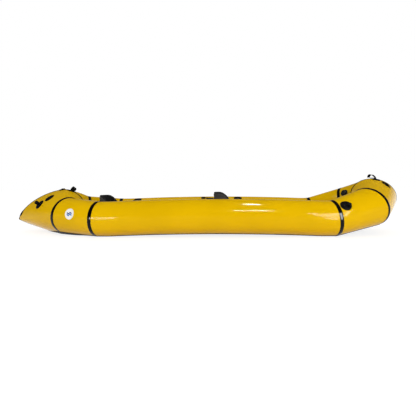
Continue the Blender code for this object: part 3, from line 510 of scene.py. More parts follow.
def hull_surface():
    """The rows, and the number of the row on each joint."""
    forward = np.array([1.0, 0, 0])
    stern_end = np.array([SIDE_STERN_X, -HALF_TRACK, TUBE_HEIGHT])
    bow_end = np.array([SIDE_BOW_X, -HALF_TRACK, TUBE_HEIGHT])
    keel_center = np.array([(NOSE_X + THROAT_X) / 2, 0, (CREST_Z + KEEL_Z) / 2])
    stern_half, stern_quarter = unit(STERN_JOINT - keel_center), unit(stern_end - STERN_JOINT)
    bow_quarter, bow_half = unit(BOW_JOINT - bow_end), unit(BOW_CENTER - BOW_JOINT)
    joints = [
        stern_seam_ring(),
        tube_ring(STERN_JOINT, stern_quarter, STERN_JOINT_RADIUS, unit(stern_half + stern_quarter)),
        tube_ring(stern_end, forward, TUBE_RADIUS, unit(stern_quarter + forward)),
        tube_ring(bow_end, forward, TUBE_RADIUS, unit(forward + bow_quarter)),
        tube_ring(BOW_JOINT, bow_quarter, BOW_JOINT_RADIUS, unit(bow_quarter + bow_half)),
        bow_seam_ring(),
    ]
    rows, marks = [joints[0]], [0]
    for k, (first, last) in enumerate(zip(joints, joints[1:])):
        part = length_rows(first, last, CENTER_BULGE if k in (0, 4) else 0)
        if k == 2:
            part = [row + UP * rocker(row[:, :1]) for row in part]
        rows += part[1:]
        marks.append(len(rows) - 1)
    return np.array(rows), marks


def surface_normals(rows):
    """Outward normals of a ring surface whose first and last rows lie in the centre plane."""
    fuller = np.concatenate([rows[1:2] * MIRROR, rows, rows[-2:-1] * MIRROR])
    lengthwise = fuller[2:] - fuller[:-2]
    around = np.roll(rows, -1, axis=1) - np.roll(rows, 1, axis=1)
    normals = unit(np.cross(lengthwise, around))
    outward = rows - rows.mean(axis=1, keepdims=True)
    turn = np.sign((normals * outward).sum(axis=(1, 2), keepdims=True))
    return normals * turn


def puckered(rows, marks):
    """Short gathers beside each inner bend, where the fabric of the mitred lengths is slack."""
    normals = surface_normals(rows)
    inboard = np.clip(-COS, 0, 1)
    ripple = 0.5 + 0.5 * np.cos(PUCKER_COUNT * ANGLES)
    moved = rows
    for mark in marks[1:-1]:
        gap = np.linalg.norm(rows - rows[mark], axis=2)
        depth = PUCKER_DEPTH * inboard * ripple * np.exp(-(gap / PUCKER_REACH) ** 2)
        moved = moved - normals * depth[:, :, None]
    return moved


ROWS, MARKS = hull_surface()
ROWS = puckered(ROWS, MARKS)
NORMALS = surface_normals(ROWS)
SEGMENTS = ("stern_center", "stern_quarter", "side_tube", "bow_quarter", "bow_center")


def sided(points, side):
    return points if side == RIGHT else points * MIRROR


def build_tubes():
    for number, segment in enumerate(SEGMENTS):
        part = slice(MARKS[number], MARKS[number + 1] + 1)
        for side_name, side in SIDES.items():
            node = f"{segment}_{side_name}"
            top, under = sided(ROWS[part], side), sided(ROWS[part] - NORMALS[part] * SKIN_WALL, side)
            grid_shell(f"{node}_fabric", top, under, YELLOW_FABRIC, node, flip=side == RIGHT)


def tape_shell(numbers, side=None):
    """A tape over the given rows. Without a side it crosses the centreline, from half to half."""
    halves = [side] * len(TAPE_PROFILE) if side else (RIGHT, RIGHT, RIGHT, LEFT, LEFT)
    skins = []
    for heights in (TAPE_PROFILE, [TAPE_UNDER] * len(TAPE_PROFILE)):
        skins.append(np.array([sided(ROWS[number] + NORMALS[number] * height, half)
                               for number, height, half in zip(numbers, heights, halves)]))
    return skins


def build_tapes():
    names = ("stern_joint_tape", "stern_bend_tape", "bow_bend_tape", "bow_joint_tape")
    for name, mark in zip(names, MARKS[1:-1]):
        for side_name, side in SIDES.items():
            node = f"{name}_{side_name}"
            skins = tape_shell(range(mark - 2, mark + 3), side)
            grid_shell(f"{node}_strip", *skins, BLACK_TAPE, node, flip=side == RIGHT)
    last = len(ROWS) - 1
    for node, numbers in (("stern_center_tape", (2, 1, 0, 1, 2)),
                          ("bow_center_tape", (last - 2, last - 1, last, last - 1, last - 2))):
        grid_shell(f"{node}_strip", *tape_shell(numbers), BLACK_TAPE, node, flip=node.startswith("bow"))


def ring_point(row, degrees):
    place = degrees / 360 * FACETS
    low = int(math.floor(place))
    share = place - low
    return row[low % FACETS] * (1 - share) + row[(low + 1) % FACETS] * share


def floor_wrap(number):
    """How far up the tube the floor sheet is lapped at a row, in degrees from its lowest line."""
    if number <= MARKS[1]:
        return float(np.interp(1 - number / MARKS[1], FLOOR_AFT_SHARES, FLOOR_AFT_WRAPS))
    x = ROWS[number][:, 0].mean()
    share = np.clip((x - STERN_JOINT[0]) / (SIDE_STERN_X - STERN_JOINT[0]), 0, 1)
    wrap = FLOOR_WRAP_STERN + (FLOOR_WRAP_SIDE - FLOOR_WRAP_STERN) * share
    if number > MARKS[4]:
        near_end = np.clip((number - MARKS[4]) / (FLOOR_BOW_SHARE * (MARKS[5] - MARKS[4])), 0, 1)
        wrap += (FLOOR_WRAP_BOW - FLOOR_WRAP_SIDE) * near_end
    return float(wrap)


def stern_slack(x):
    """How far the sheet hangs below the rising stern lengths, down to the ground."""
    return FLOOR_SAG * float(smooth_step(x, *FLOOR_SAG_AFT) * (1 - smooth_step(x, *FLOOR_SAG_FORE)))


def build_floor():
    """One sheet under the whole boat, lapped up the tubes, with slack between them."""
    lap_steps, cross_steps, full_slack_width = 8, 24, 0.2
    lap = np.linspace(1, 0, lap_steps + 1)
    shares = np.linspace(0, 1, cross_steps + 1)[1:-1, None]
    skins = []
    for height in (FLOOR_TOP, FLOOR_UNDER):
        sections = []
        for number in range(2, len(ROWS) - 2):
            row = ROWS[number] + NORMALS[number] * height
            right = np.array([ring_point(row, 270 + angle) for angle in floor_wrap(number) * lap])
            right[:, 2] -= stern_slack(right[-1][0]) * np.sqrt(1 - lap)
            cross = right[-1] * (1 - shares) + right[-1] * MIRROR * shares
            slack = np.sin(math.pi * shares[:, 0]) * min(1.0, abs(right[-1][1]) / full_slack_width)
            x, y = cross[:, 0], cross[:, 1]
            wave = np.sin(x * 23 + 1.3 * np.sin(y * 17)) * np.cos(y * 19 + 0.6)
            cross[:, 2] += slack * (FLOOR_WAVE * wave - FLOOR_SETTLE * rocker(x))
            section = np.concatenate([right, cross, (right * MIRROR)[::-1]])
            section[:, 2] = np.maximum(section[:, 2], GROUND_GAP + height - FLOOR_UNDER)
            sections.append(section)
        skins.append(np.array(sections))
    grid_shell("floor_sheet_fabric", *skins, FLOOR_FABRIC, "floor_sheet", around=False)


# Places on the hull

def skin_tree():
    """The hull's outside, for finding points on it."""
    points, faces = [], []
    for side in (RIGHT, LEFT):
        base = len(points)
        points += [Vector(p) for p in sided(ROWS, side).reshape(-1, 3)]
        for low in range(base, len(points) - FACETS, FACETS):
            for i in range(FACETS):
                k = (i + 1) % FACETS
                faces.append([low + i, low + k, low + FACETS + k, low + FACETS + i])
    return BVHTree.FromPolygons(points, faces)


SKIN = skin_tree()
SKIN_REACH, NORMAL_REACH = 0.09, 0.02


def frame_at(point, normal, along):
    """A frame with Z along the normal and X as near as it can be to a direction."""
    z = Vector(normal).normalized()
    x = (Vector(along) - Vector(along).dot(z) * z).normalized()
    return axes_frame(point, x, z.cross(x), z)


def node_center(node):
    points = np.array([v.co for v in NODES[node].data.vertices])
    return Vector(points.mean(axis=0))


def skin_frame(near, along=(1, 0, 0)):
    """The frame on the hull at the place nearest to a point, with a normal averaged round it."""
    place = SKIN.find_nearest(Vector(near))[0]
    outward = place - Vector(hull_core(place))
    normal = Vector((0, 0, 0))
    for _, facing, _, _ in SKIN.find_nearest_range(place, NORMAL_REACH):
        normal += facing if facing.dot(outward) >= 0 else -facing
    return frame_at(place, normal, along)


def hull_core(point):
    """The nearest point of the tubes' centre line."""
    centers = sided(ROWS.mean(axis=1), RIGHT if point[1] < 0 else LEFT)
    return centers[int(np.linalg.norm(centers - np.array(point), axis=1).argmin())]


def skin_drop(place, x, y):
    """The height of the hull under a point of a frame, in the frame's own coordinates."""
    hit = SKIN.ray_cast(place @ Vector((x, y, SKIN_REACH)), -axis_of(place, 2), 2 * SKIN_REACH)
    return SKIN_REACH - hit[3] if hit[0] is not None else 0.0


def seam_rise(point):
    """How much the centreline tape lifts what lies over it."""
    return float(TAPE_PROFILE[2] * (1 - smooth_step(abs(point[1]), TAPE_HALF - 0.002, TAPE_HALF + 0.004)))


def disc(name, place, radii, finish, top=PATCH_TOP, node=None, relief=None):
    """A round or oval patch welded to the hull, with a thin, softened rim and a pressed ring."""
    circle = [(math.cos(angle), math.sin(angle)) for angle in math.tau * np.arange(DISC_SPOKES) / DISC_SPOKES]
    flat = [(0.0, 0.0, 0.0)]
    flat += [(radii[0] * share * c, radii[1] * share * s, share) for share in DISC_SHARES for c, s in circle]
    points = []
    for upper in (True, False):
        for x, y, share in flat:
            z = skin_drop(place, x, y)
            z += seam_rise(place @ Vector((x, y, z)))
            if upper:
                full = 1 - float(smooth_step(share, DISC_RIM, 1.0))
                pressed = math.exp(-((share - DISC_GROOVE) / 0.03) ** 2)
                z += RIM_TOP + (top - RIM_TOP) * full - GROOVE_DEPTH * pressed
                z += relief(x, y) if relief else 0
            else:
                z += WELD_GAP
            points.append(place @ Vector((x, y, z)))
    count = len(flat)
    rim = count - DISC_SPOKES
    faces, sides = [], []
    for k in range(DISC_SPOKES):
        n = (k + 1) % DISC_SPOKES
        wedge = [[0, 1 + k, 1 + n]]
        wedge += [[low + k, low + DISC_SPOKES + k, low + DISC_SPOKES + n, low + n]
                  for low in range(1, rim, DISC_SPOKES)]
        faces += wedge + [[count + i for i in face[::-1]] for face in wedge]
        sides.append([rim + n, rim + k, count + rim + k, count + rim + n])
    faces += sides
    uvs = [flat[i % count][:2] for face in faces for i in face]
    made = mesh_piece(name, points, faces, finish, HULL, uvs, 60.0)
    if node:
        stand_in(made, node)


# Webbing

def rounded_profile(width, thickness):
    """A flat strip's outline, with round edges, as (across, up) pairs."""
    steps, radius = 6, thickness / 2
    outline = []
    for sign, start in ((1, -90), (-1, 90)):
        for k in range(steps + 1):
            angle = math.radians(start + 180 * k / steps)
            outline.append((sign * (width / 2 - radius) + radius * math.cos(angle), radius * math.sin(angle)))
    return outline


def ribbon(name, path, acrosses, body=None, width=STRAP_WIDTH, thickness=STRAP_THICKNESS):
    """Webbing along a path, with its width along the direction given at each point."""
    path, acrosses = np.asarray(path, float), np.asarray(acrosses, float)
    along = unit(np.gradient(path, axis=0))
    wide = unit(square_to(acrosses, along))
    profile = rounded_profile(width, thickness)
    points = [p + a * w + b * u for p, w, u in zip(path, wide, np.cross(along, wide)) for a, b in profile]
    rim = running_length(np.array([(a, b, 0) for a, b in profile + profile[:1]]))
    lengths = running_length(path)
    rows, columns = len(path), len(profile)
    faces, uvs = [], []
    for j in range(rows - 1):
        for i in range(columns):
            corners = ((j, i), (j, i + 1), (j + 1, i + 1), (j + 1, i))
            faces.append([a * columns + b % columns for a, b in corners])
            uvs.extend((lengths[a], rim[b]) for a, b in corners)
    for row, turn in ((0, -1), (rows - 1, 1)):
        faces.append([row * columns + i for i in range(columns)][::turn])
        uvs.extend((lengths[row], rim[i]) for i in range(columns))
    return mesh_piece(name, points, faces, WEBBING, body, uvs, 70.0)


def side_path(place, outline):
    """A smooth path in a frame, from its X and Z in millimetres."""
    return smooth_path([place @ Vector((x * 0.001, 0, z * 0.001)) for x, z in outline], 5)


def smooth_path(points, steps):
    """A curve through the points, by Catmull and Rom's rule, with these steps between two of them."""
    points = np.asarray(points, float)
    padded = np.concatenate([2 * points[:1] - points[1:2], points, 2 * points[-1:] - points[-2:-1]])
    out = []
    for a, b, c, d in zip(padded, padded[1:], padded[2:], padded[3:]):
        for k in range(steps):
            t = k / steps
            out.append(0.5 * (2 * b + (c - a) * t + (2 * a - 5 * b + 4 * c - d) * t ** 2
                              + (3 * b - a - 3 * c + d) * t ** 3))
    out.append(points[-1])
    return np.array(out)


def joint_frame(child):
    """A moving piece's own frame: Y along its hinge, Z from the hinge to its middle."""
    joint = JOINTS[child]
    origin, axis = Vector(joint["pos_m"]), Vector(joint["axis"]).normalized()
    outward = node_center(child) - origin
    z = (outward - outward.dot(axis) * axis).normalized()
    return axes_frame(origin, axis.cross(z), axis, z)


def strap_rows(node, along, count):
    """Centres and width directions of a CAD strap's cross sections, in order along a direction."""
    points = np.unique(np.round([v.co for v in NODES[node].data.vertices], 5), axis=0)
    places = points @ unit(along)
    order = np.argsort(places)
    gaps = np.diff(places[order])
    cuts = np.sort(np.argsort(gaps)[-(count - 1):]) + 1
    centers, widths = [], []
    for group in np.split(points[order], cuts):
        center = group.mean(axis=0)
        wide = np.linalg.svd(group - center)[2][0]
        if widths and wide @ widths[-1] < 0:
            wide = -wide
        centers.append(center)
        widths.append(wide)
    return np.array(centers), np.array(widths)


# Tie-downs: round patches with their webbing loops

def loop_pad(x, y, lift):
    """The ridge of webbing tails under a patch's top layer, and the foot that the loop comes out of."""
    side = 1 - float(smooth_step(abs(y), *PAD_SIDE))
    tails = TAIL_HEIGHT * (1 - float(smooth_step(abs(x), *PAD_END)))
    foot = (lift - LOOP_FOOT - PATCH_TOP) * math.exp(-(x / FOOT_REACH) ** 2)
    return side * max(tails, foot)


def loop_outline(turns, tall, wide, base, low, fullness):
    """X and Z of a loop seen from its side. fullness is how far its -X and +X strands swing out."""
    turns = np.asarray(turns, float)
    swell = np.abs(np.sin(turns)) * np.sin(turns / 2) / 0.77
    swell *= np.where(turns < math.pi, fullness[1], fullness[0])
    x = np.copysign(base / 2 + (wide - base) / 2 * swell, np.sin(turns))
    return x, low + (tall - low) * (1 - np.cos(turns)) / 2


def loop_frame(name, tall, wide, fullness):
    """The joint's frame, turned so that Z runs up the middle of a loop that may bulge to one side."""
    turns = math.tau * (np.arange(CAD_LOOP_STEPS) + 0.5) / CAD_LOOP_STEPS
    wall = CAD_LOOP_WALL
    outer = loop_outline(turns, tall, wide, 2.2 * wall, CAD_LOOP_LOW, fullness)
    inner = loop_outline(turns, tall - wall, wide - 2 * wall, CAD_EYE_FOOT, CAD_EYE_LOW, fullness)
    x, z = np.mean([outer, inner], axis=(0, 2))
    return joint_frame(name) @ Matrix.Rotation(-math.atan2(x, z), 4, "Y")


def standing_loop(name):
    """A folded strip of webbing with an open eye, which moves with its own body.

    Its strands may be turned about their own length, toward the loop's X or Z.
    """
    tall, wide, fullness = LOOP_SIZES.get(name, LOOP_SIZE)
    skew = LOOP_SKEWS.get(name, (0.0, 0.0))
    place = loop_frame(name, tall, wide, fullness)
    turns = np.linspace(LOOP_GAP, math.tau - LOOP_GAP, LOOP_STEPS)
    shrink = [0.5 * WEB_WIDTH * math.sin(math.atan(abs(value))) for value in skew]
    x, z = loop_outline(turns, tall - WEB_THICKNESS / 2 - shrink[1], wide - WEB_THICKNESS - shrink[0],
                        LOOP_BASE, -LOOP_FOOT, fullness)
    path = [place @ Vector((a, 0, b)) for a, b in zip(x, z)]
    across = [place.to_3x3() @ Vector((skew[0] * abs(math.sin(t)), 1, skew[1] * math.sin(t / 2) ** 2))
              for t in turns]
    made = ribbon(f"{name}_webbing", path, across, name, WEB_WIDTH, WEB_THICKNESS)
    stand_in(made, name)


def lying_loop(name, place):
    """A loop of webbing that lies folded over on its patch."""
    lift = PATCH_TOP + seam_rise(place.to_translation())
    path = smooth_path([place @ Vector((x, 0, skin_drop(place, x, 0) + lift + z * 0.001))
                        for x, z in LYING_FOLD], 5)
    ribbon(name, path, [axis_of(place, 1)] * len(path), HULL, WEB_WIDTH, WEB_THICKNESS)


def stitches(name, lines, up):
    """Short raised threads along lines of points, on a surface with this normal."""
    sides = 6
    points, faces = [], []
    for path in lines:
        lengths = running_length(path)
        count = int(lengths[-1] / STITCH_PITCH)
        for k in range(count):
            places = [(k + share) * lengths[-1] / count for share in (0.14, 0.86)]
            first, last = (np.array([np.interp(s, lengths, path[:, c]) for c in range(3)]) for s in places)
            aside = np.cross(unit(last - first), up)
            base = len(points)
            for share, size in ((0.0, 0.25), (0.25, 1.0), (0.75, 1.0), (1.0, 0.25)):
                for turn in math.tau * np.arange(sides) / sides:
                    spoke = STITCH_WIDE * math.cos(turn) * aside + STITCH_HIGH * math.sin(turn) * up
                    points.append(first + (last - first) * share + size * spoke)
            for low in range(base, base + 3 * sides, sides):
                for a in range(sides):
                    b = (a + 1) % sides
                    faces.append([low + a, low + b, low + sides + b, low + sides + a])
            faces.append([base + a for a in range(sides)][::-1])
            faces.append([base + 3 * sides + a for a in range(sides)])
    mesh_piece(name, points, faces, THREAD)


def patch_stitches(name, place, raised):
    """A box stitch with a cross over the webbing tails under a patch."""
    x, y = STITCH_BOX
    corners = [(-x, -y), (x, -y), (x, y), (-x, y), (-x, -y)]
    lines = []
    for a, b in list(zip(corners, corners[1:])) + [((-x, -y), (x, y)), ((x, -y), (-x, y))]:
        path = []
        for share in np.linspace(0, 1, 9):
            px, py = a[0] + (b[0] - a[0]) * share, a[1] + (b[1] - a[1]) * share
            rise = PATCH_TOP + seam_rise(place @ Vector((px, py, 0))) + raised(px, py) + 0.0001
            path.append(place @ Vector((px, py, skin_drop(place, px, py) + rise)))
        lines.append(np.array(path))
    stitches(name, lines, np.array(axis_of(place, 2)))


def build_tie_downs():
    pairs = [(f"{end}_patch_{side}", f"{end}_loop_{side}")
             for end in ("bow_quarter", "stern_aft") for side in SIDES]
    for patch, loop in pairs + [("bow_top_patch", "bow_top_loop"), ("stern_top_patch", "stern_top_loop")]:
        moving = joint_frame(loop)
        origin = moving.to_translation()
        skin = skin_frame(origin)
        normal = axis_of(skin, 2)
        place = frame_at(skin.to_translation(), normal, axis_of(moving, 1).cross(normal))
        lift = (origin - place.to_translation()).length
        radius = STERN_TOP_RADIUS if loop == "stern_top_loop" else PATCH_RADIUS

        def raised(x, y):
            return loop_pad(x, y, lift)

        disc(f"{patch}_disc", place, (radius, radius), PATCH_FABRIC, node=patch, relief=raised)
        standing_loop(loop)
        patch_stitches(f"{patch}_stitching", place, raised)
    for patch in (f"{end}_patch_{side}" for end in ("stern_fore", "bow_front") for side in SIDES):
        place = skin_frame(node_center(patch))
        disc(f"{patch}_disc", place, (PATCH_RADIUS, PATCH_RADIUS), PATCH_FABRIC, node=patch)
        lying_loop(f"{patch}_webbing", place)
        patch_stitches(f"{patch}_stitching", place, lambda x, y: 0.0)


def build_labels():
    """Plain oval stickers with a generic wave, one on each side of the stern."""
    for side_name, side in SIDES.items():
        place = skin_frame(sided(np.array(LABEL_PLACE), side))
        disc(f"oval_label_{side_name}", place, LABEL_RADII, LABEL_VINYL, top=0.0007)


def build_end_trim():
    nose = skin_frame(NOSE_GUARD_PLACE, NOSE_GUARD_ALONG)
    disc("nose_guard", nose, NOSE_GUARD_RADII, PATCH_FABRIC, top=0.0022)
    crest = skin_frame(CREST_PATCH_PLACE)
    disc("crest_patch_disc", crest, (CREST_PATCH_RADIUS, CREST_PATCH_RADIUS), PATCH_FABRIC)
    lying_loop("crest_patch_webbing", crest)


# Seats

def swell(item, pinned, pressure, cap):
    """Let air pressure fill a closed piece by cloth simulation, while its seams stay."""
    group = item.vertex_groups.new(name="seams")
    group.add([int(i) for i in pinned], 1.0, "REPLACE")
    cloth = item.modifiers.new("air", "CLOTH")
    assign(cloth.settings, {"vertex_group_mass": "seams", "pin_stiffness": 1.0, "use_pressure": True,
                            "uniform_pressure_force": pressure, "shrink_min": -0.04,
                            "tension_stiffness": 12, "compression_stiffness": 12,
                            "bending_stiffness": 0.3, "quality": 6})
    cloth.settings.effector_weights.gravity = 0
    scene = bpy.context.scene
    for number in range(1, CLOTH_FRAMES + 1):
        scene.frame_set(number)
    solved = item.evaluated_get(bpy.context.evaluated_depsgraph_get())
    before, after = point_array(item.data), point_array(solved.to_mesh())
    solved.to_mesh_clear()
    item.modifiers.remove(cloth)
    item.vertex_groups.clear()
    scene.frame_set(1)
    shift = after - before
    reach = np.linalg.norm(shift, axis=1, keepdims=True)
    shift *= np.minimum(1.0, cap / np.maximum(reach, 1e-9))
    item.data.vertices.foreach_set("co", (before + shift).ravel())
    item.data.update()


def point_array(mesh):
    values = np.zeros(len(mesh.vertices) * 3, np.float32)
    mesh.vertices.foreach_get("co", values)
    return values.reshape(-1, 3)


def seat_edge(center_x, u, v):
    """A point of a seat's seam level, from shares of its half length and half width."""
    x = (SEAT_LENGTH / 2 - SEAT_RIM) * u * (1 - 0.10 * v * v + 0.05 * (1 - v * v) * (abs(u) - 1))
    y = (SEAT_WIDTH / 2 - SEAT_RIM) * v * (1 - 0.10 * u * u - 0.04 * (1 - u * u))
    ground = TUBE_HEIGHT - TUBE_RADIUS + float(rocker(center_x + x)) - 0.0003
    return np.array((center_x + x, y, ground + SEAT_SEAM_HEIGHT))


def pillow(name, corner, rows, columns, finish):
    """A closed pad from an upper and an under face that meet along their edge.

    corner(i, j, face) gives a point, with face 1 above, -1 below and 0 on the edge.
    """
    numbers, points = {}, []
    for face in (1, -1):
        for i in range(rows + 1):
            for j in range(columns + 1):
                edge = i in (0, rows) or j in (0, columns)
                if edge and face < 0:
                    numbers[i, j, face] = numbers[i, j, 1]
                    continue
                numbers[i, j, face] = len(points)
                points.append(corner(i, j, 0 if edge else face))
    faces, uvs = [], []
    lengthwise = running_length(np.array([points[numbers[i, columns // 2, 1]] for i in range(rows + 1)]))
    crosswise = running_length(np.array([points[numbers[rows // 2, j, 1]] for j in range(columns + 1)]))
    for face in (1, -1):
        for i in range(rows):
            for j in range(columns):
                ring = [(i, j), (i + 1, j), (i + 1, j + 1), (i, j + 1)][::face]
                faces.append([numbers[a, b, face] for a, b in ring])
                uvs.extend((lengthwise[a], crosswise[b]) for a, b in ring)
    made = mesh_piece(name, points, faces, finish, None, uvs, 180.0)
    outside = bmesh.new()
    outside.from_mesh(made.data)
    bmesh.ops.recalc_face_normals(outside, faces=outside.faces)
    outside.to_mesh(made.data)
    outside.free()
    return made, numbers


def build_seat(name, center_x):
    """An air-filled cushion with cross channels."""
    rows, columns = SEAT_GRID
    channels = [rows * k // (SEAT_CHANNELS + 1) for k in range(1, SEAT_CHANNELS + 1)]

    def corner(i, j, face):
        u, v = 2 * i / rows - 1, 2 * j / columns - 1
        fullness = ((1 - u ** 4) * (1 - v ** 4)) ** 0.5
        gap = min(abs(i - c) for c in channels) / (rows / (SEAT_CHANNELS + 1))
        dip = CHANNEL_DEPTH * math.exp(-(gap / 0.12) ** 2)
        above = (SEAT_CROWN - 0.008 - dip) * fullness
        below = -SEAT_SEAM_HEIGHT * min(1.0, 2.2 * fullness)
        return Vector(seat_edge(center_x, u, v) + UP * (0, above, below)[face])

    made, numbers = pillow(f"{name}_cushion", corner, rows, columns, SEAT_CLOTH)
    pinned = {n for (i, j, face), n in numbers.items()
              if i in (0, rows) or j in (0, columns) or face < 0 or (i in channels and 5 <= j <= columns - 5)}
    swell(made, pinned, *SEAT_AIR)
    add_subdivision(made)
    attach(made, HULL)
    stand_in(made, name)


def build_seat_rim(name, center_x):
    """The thin welded flange round a seat."""
    rows, columns = SEAT_GRID
    border = [(i, 0) for i in range(0, rows, 2)] + [(rows, j) for j in range(0, columns, 2)]
    border += [(i, columns) for i in range(rows, 0, -2)] + [(0, j) for j in range(columns, 0, -2)]
    skins = [], []
    for i, j in border:
        u, v = 2 * i / rows - 1, 2 * j / columns - 1
        edge = seat_edge(center_x, u, v)
        outer = unit((u ** 5 + 0.25 * u, v ** 5 + 0.25 * v, 0))
        for skin, lift in zip(skins, (RIM_HALF, -RIM_HALF)):
            skin.append([edge + outer * SEAT_RIM * share + UP * (lift + droop)
                         for share, droop in RIM_PROFILE])
    top, under = (np.array(skin).transpose(1, 0, 2) for skin in skins)
    grid_shell(f"{name}_welded_rim", top, under, SEAT_CLOTH, flip=True)


def add_subdivision(item):
    smoother = item.modifiers.new("smooth", "SUBSURF")
    smoother.levels = smoother.render_levels = 1


# Backbands

class Band:
    """The curved sheet of a backband, from wing to wing."""

    def __init__(self, back_x, depth, top, wing_top, wing_power):
        self.hinge_x = back_x + BAND_THICKNESS / 2
        self.depth, self.top = depth, top
        self.wing_top, self.wing_power = wing_top, wing_power

    def place(self, across, share, offset=0.0):
        """A point at a share of the width and of the height, moved along the normal."""
        sweep = math.pi * (across - 0.5)
        wing = abs(2 * across - 1)
        fall = (self.top - self.wing_top) * max(0.0, (wing - 0.45) / 0.55) ** self.wing_power
        high = self.top - BAND_BOTTOM - fall
        low = BAND_WING_LIFT * max(0.0, (wing - 0.5) / 0.5) ** 2
        x = self.hinge_x + self.depth * (1 - math.cos(sweep))
        y = BAND_HALF_WIDTH * math.sin(sweep)
        normal = unit((-BAND_HALF_WIDTH * math.cos(sweep), self.depth * math.sin(sweep), 0))
        return np.array((x, y, BAND_BOTTOM + low + share * (high - low))) + offset * normal

    def half_thickness(self, across, share):
        wing = abs(2 * across - 1)
        pad = math.sqrt(max(0.0, 1 - (2 * share - 1) ** 4) * (1 - wing ** 6))
        return BAND_THICKNESS / 2 * (0.30 + 0.70 * pad)


def build_backband(name, band):
    """A padded band with cross ribs, bound round its edge with folded webbing."""
    columns, rows, inset = 76, 34, 0.012
    ribs = [round(rows * k / (BAND_RIBS + 1)) for k in range(1, BAND_RIBS + 1)]

    def corner(i, j, face):
        across = inset + (1 - 2 * inset) * i / columns
        share = inset * 2 + (1 - 4 * inset) * j / rows
        half = band.half_thickness(across, share) * (0.62 if face != 0 and j in ribs else 1)
        return Vector(band.place(across, share, face * half * 0.86))

    made, numbers = pillow(f"{name}_pad", corner, columns, rows, BAND_CLOTH)
    pinned = {n for (i, j, face), n in numbers.items()
              if i in (0, columns) or j in (0, rows) or (j in ribs and 2 <= i <= columns - 2)}
    swell(made, pinned, *BAND_AIR)
    add_subdivision(made)
    line_with_mesh_and_shade(made)
    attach(made, name)
    stand_in(made, name)
    build_binding(name, band)


def line_with_mesh_and_shade(pad):
    """The face towards the paddler's back, which is the second half of the pad's faces, is open mesh,
    near-black: partly its own black, partly painted shade.
    """
    pad.data.materials.append(BAND_MESH_AND_SHADE)
    faces = pad.data.polygons
    for face in faces[len(faces) // 2:]:
        face.material_index = 1


def build_binding(name, band):
    """Webbing folded over the band's edge all the way round."""
    outline = [(a, 1.0) for a in np.linspace(0, 1, 60)] + [(1.0, s) for s in np.linspace(1, 0, 20)[1:]]
    outline += [(a, 0.0) for a in np.linspace(1, 0, 60)[1:]] + [(0.0, s) for s in np.linspace(0, 1, 20)[1:-1]]
    outline = [(0.006 + 0.988 * a, 0.010 + 0.980 * s) for a, s in outline]
    edge = np.array([band.place(a, s) for a, s in outline])
    inner = np.array([band.place(0.5 + (a - 0.5) * 0.9, 0.5 + (s - 0.5) * 0.86) for a, s in outline])
    along = unit(np.roll(edge, -1, axis=0) - np.roll(edge, 1, axis=0))
    inward = unit(square_to(inner - edge, along))
    normal = np.cross(along, inward)
    skins = []
    for extra in (0.0012, 0.0002):
        strips = []
        for reach, face in BINDING_PROFILE:
            shift = max(reach, 0) / 0.22
            spread = reach if reach > 0 else reach * (extra + 0.0010) / 0.0022
            deeper = [(0.5 + (a - 0.5) * (1 - shift), 0.5 + (s - 0.5) * (1 - 2 * shift)) for a, s in outline]
            half = np.array([[band.half_thickness(*spot) * 0.92 + extra] for spot in deeper])
            strips.append(edge + inward * spread + normal * face * half)
        skins.append(np.array(strips))
    grid_shell(f"{name}_binding", *skins, WEBBING, body=name, flip=True)


# Straps

def build_fore_strap(seat, side):
    """A strap from its buckle to the band's wing."""
    band, buckle = f"{seat}_backband", f"{seat}_buckle_{side}"
    node = f"{seat}_fore_strap_{side}"
    bar = joint_frame(buckle).to_translation()
    rows, widths = strap_rows(node, node_center(node) - bar, STRAP_ROWS)
    path, wide = smooth_path(rows, 6), smooth_path(widths, 6)
    place = buckle_frame(buckle)
    wrap = side_path(place, BUCKLE_WRAP)[:-1]
    flat = np.array(axis_of(place, 1))
    if flat @ wide[0] < 0:
        flat = -flat
    half = len(path) // 2
    near = np.concatenate([wrap, path[1:half + 1]])
    near_wide = np.concatenate([np.tile(flat, (len(wrap), 1)), wide[1:half + 1]])
    made = ribbon(f"{node}_buckle_end", near, near_wide)
    tuple(path[1])
    tuple(path[half - 2])
    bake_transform(made)
    far = ribbon(f"{node}_band_end", path[half:], wide[half:])
    tuple(path[half + 2])
    tuple(path[-2])
    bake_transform(far)
    stand_in(far, node)
    around = slice(half - 2, half + 3)
    ribbon(f"{node}_keeper", path[around], wide[around], HULL, STRAP_WIDTH + 0.003, STRAP_THICKNESS + 0.0030)


def buckle_frame(buckle):
    """The frame of a ladder lock: X from its hinge bar along it, Z out of the tube."""
    place = joint_frame(buckle)
    origin, hinge = place.to_translation(), axis_of(place, 1)
    out = axis_of(skin_frame(origin), 2)
    z = (out - out.dot(hinge) * hinge).normalized()
    x = hinge.cross(z)
    if x.dot(node_center(buckle) - origin) < 0:
        x = -x
    return axes_frame(origin, x, z.cross(x), z)


def build_anchor(seat, side):
    """A round patch with a folded webbing tab that holds the ladder lock's bar."""
    patch = f"{seat}_strap_anchor_{side}"
    place = buckle_frame(f"{seat}_buckle_{side}")
    ground = skin_frame(place.to_translation())
    level = frame_at(ground.to_translation(), axis_of(ground, 2), axis_of(place, 0))
    disc(f"{patch}_disc", level, (ANCHOR_RADIUS, ANCHOR_RADIUS), PATCH_FABRIC, node=patch)
    path = side_path(place, TAB_FOLD)
    ribbon(f"{patch}_tab", path, [axis_of(place, 1)] * len(path), HULL, TAB_WIDTH, TAB_THICKNESS)


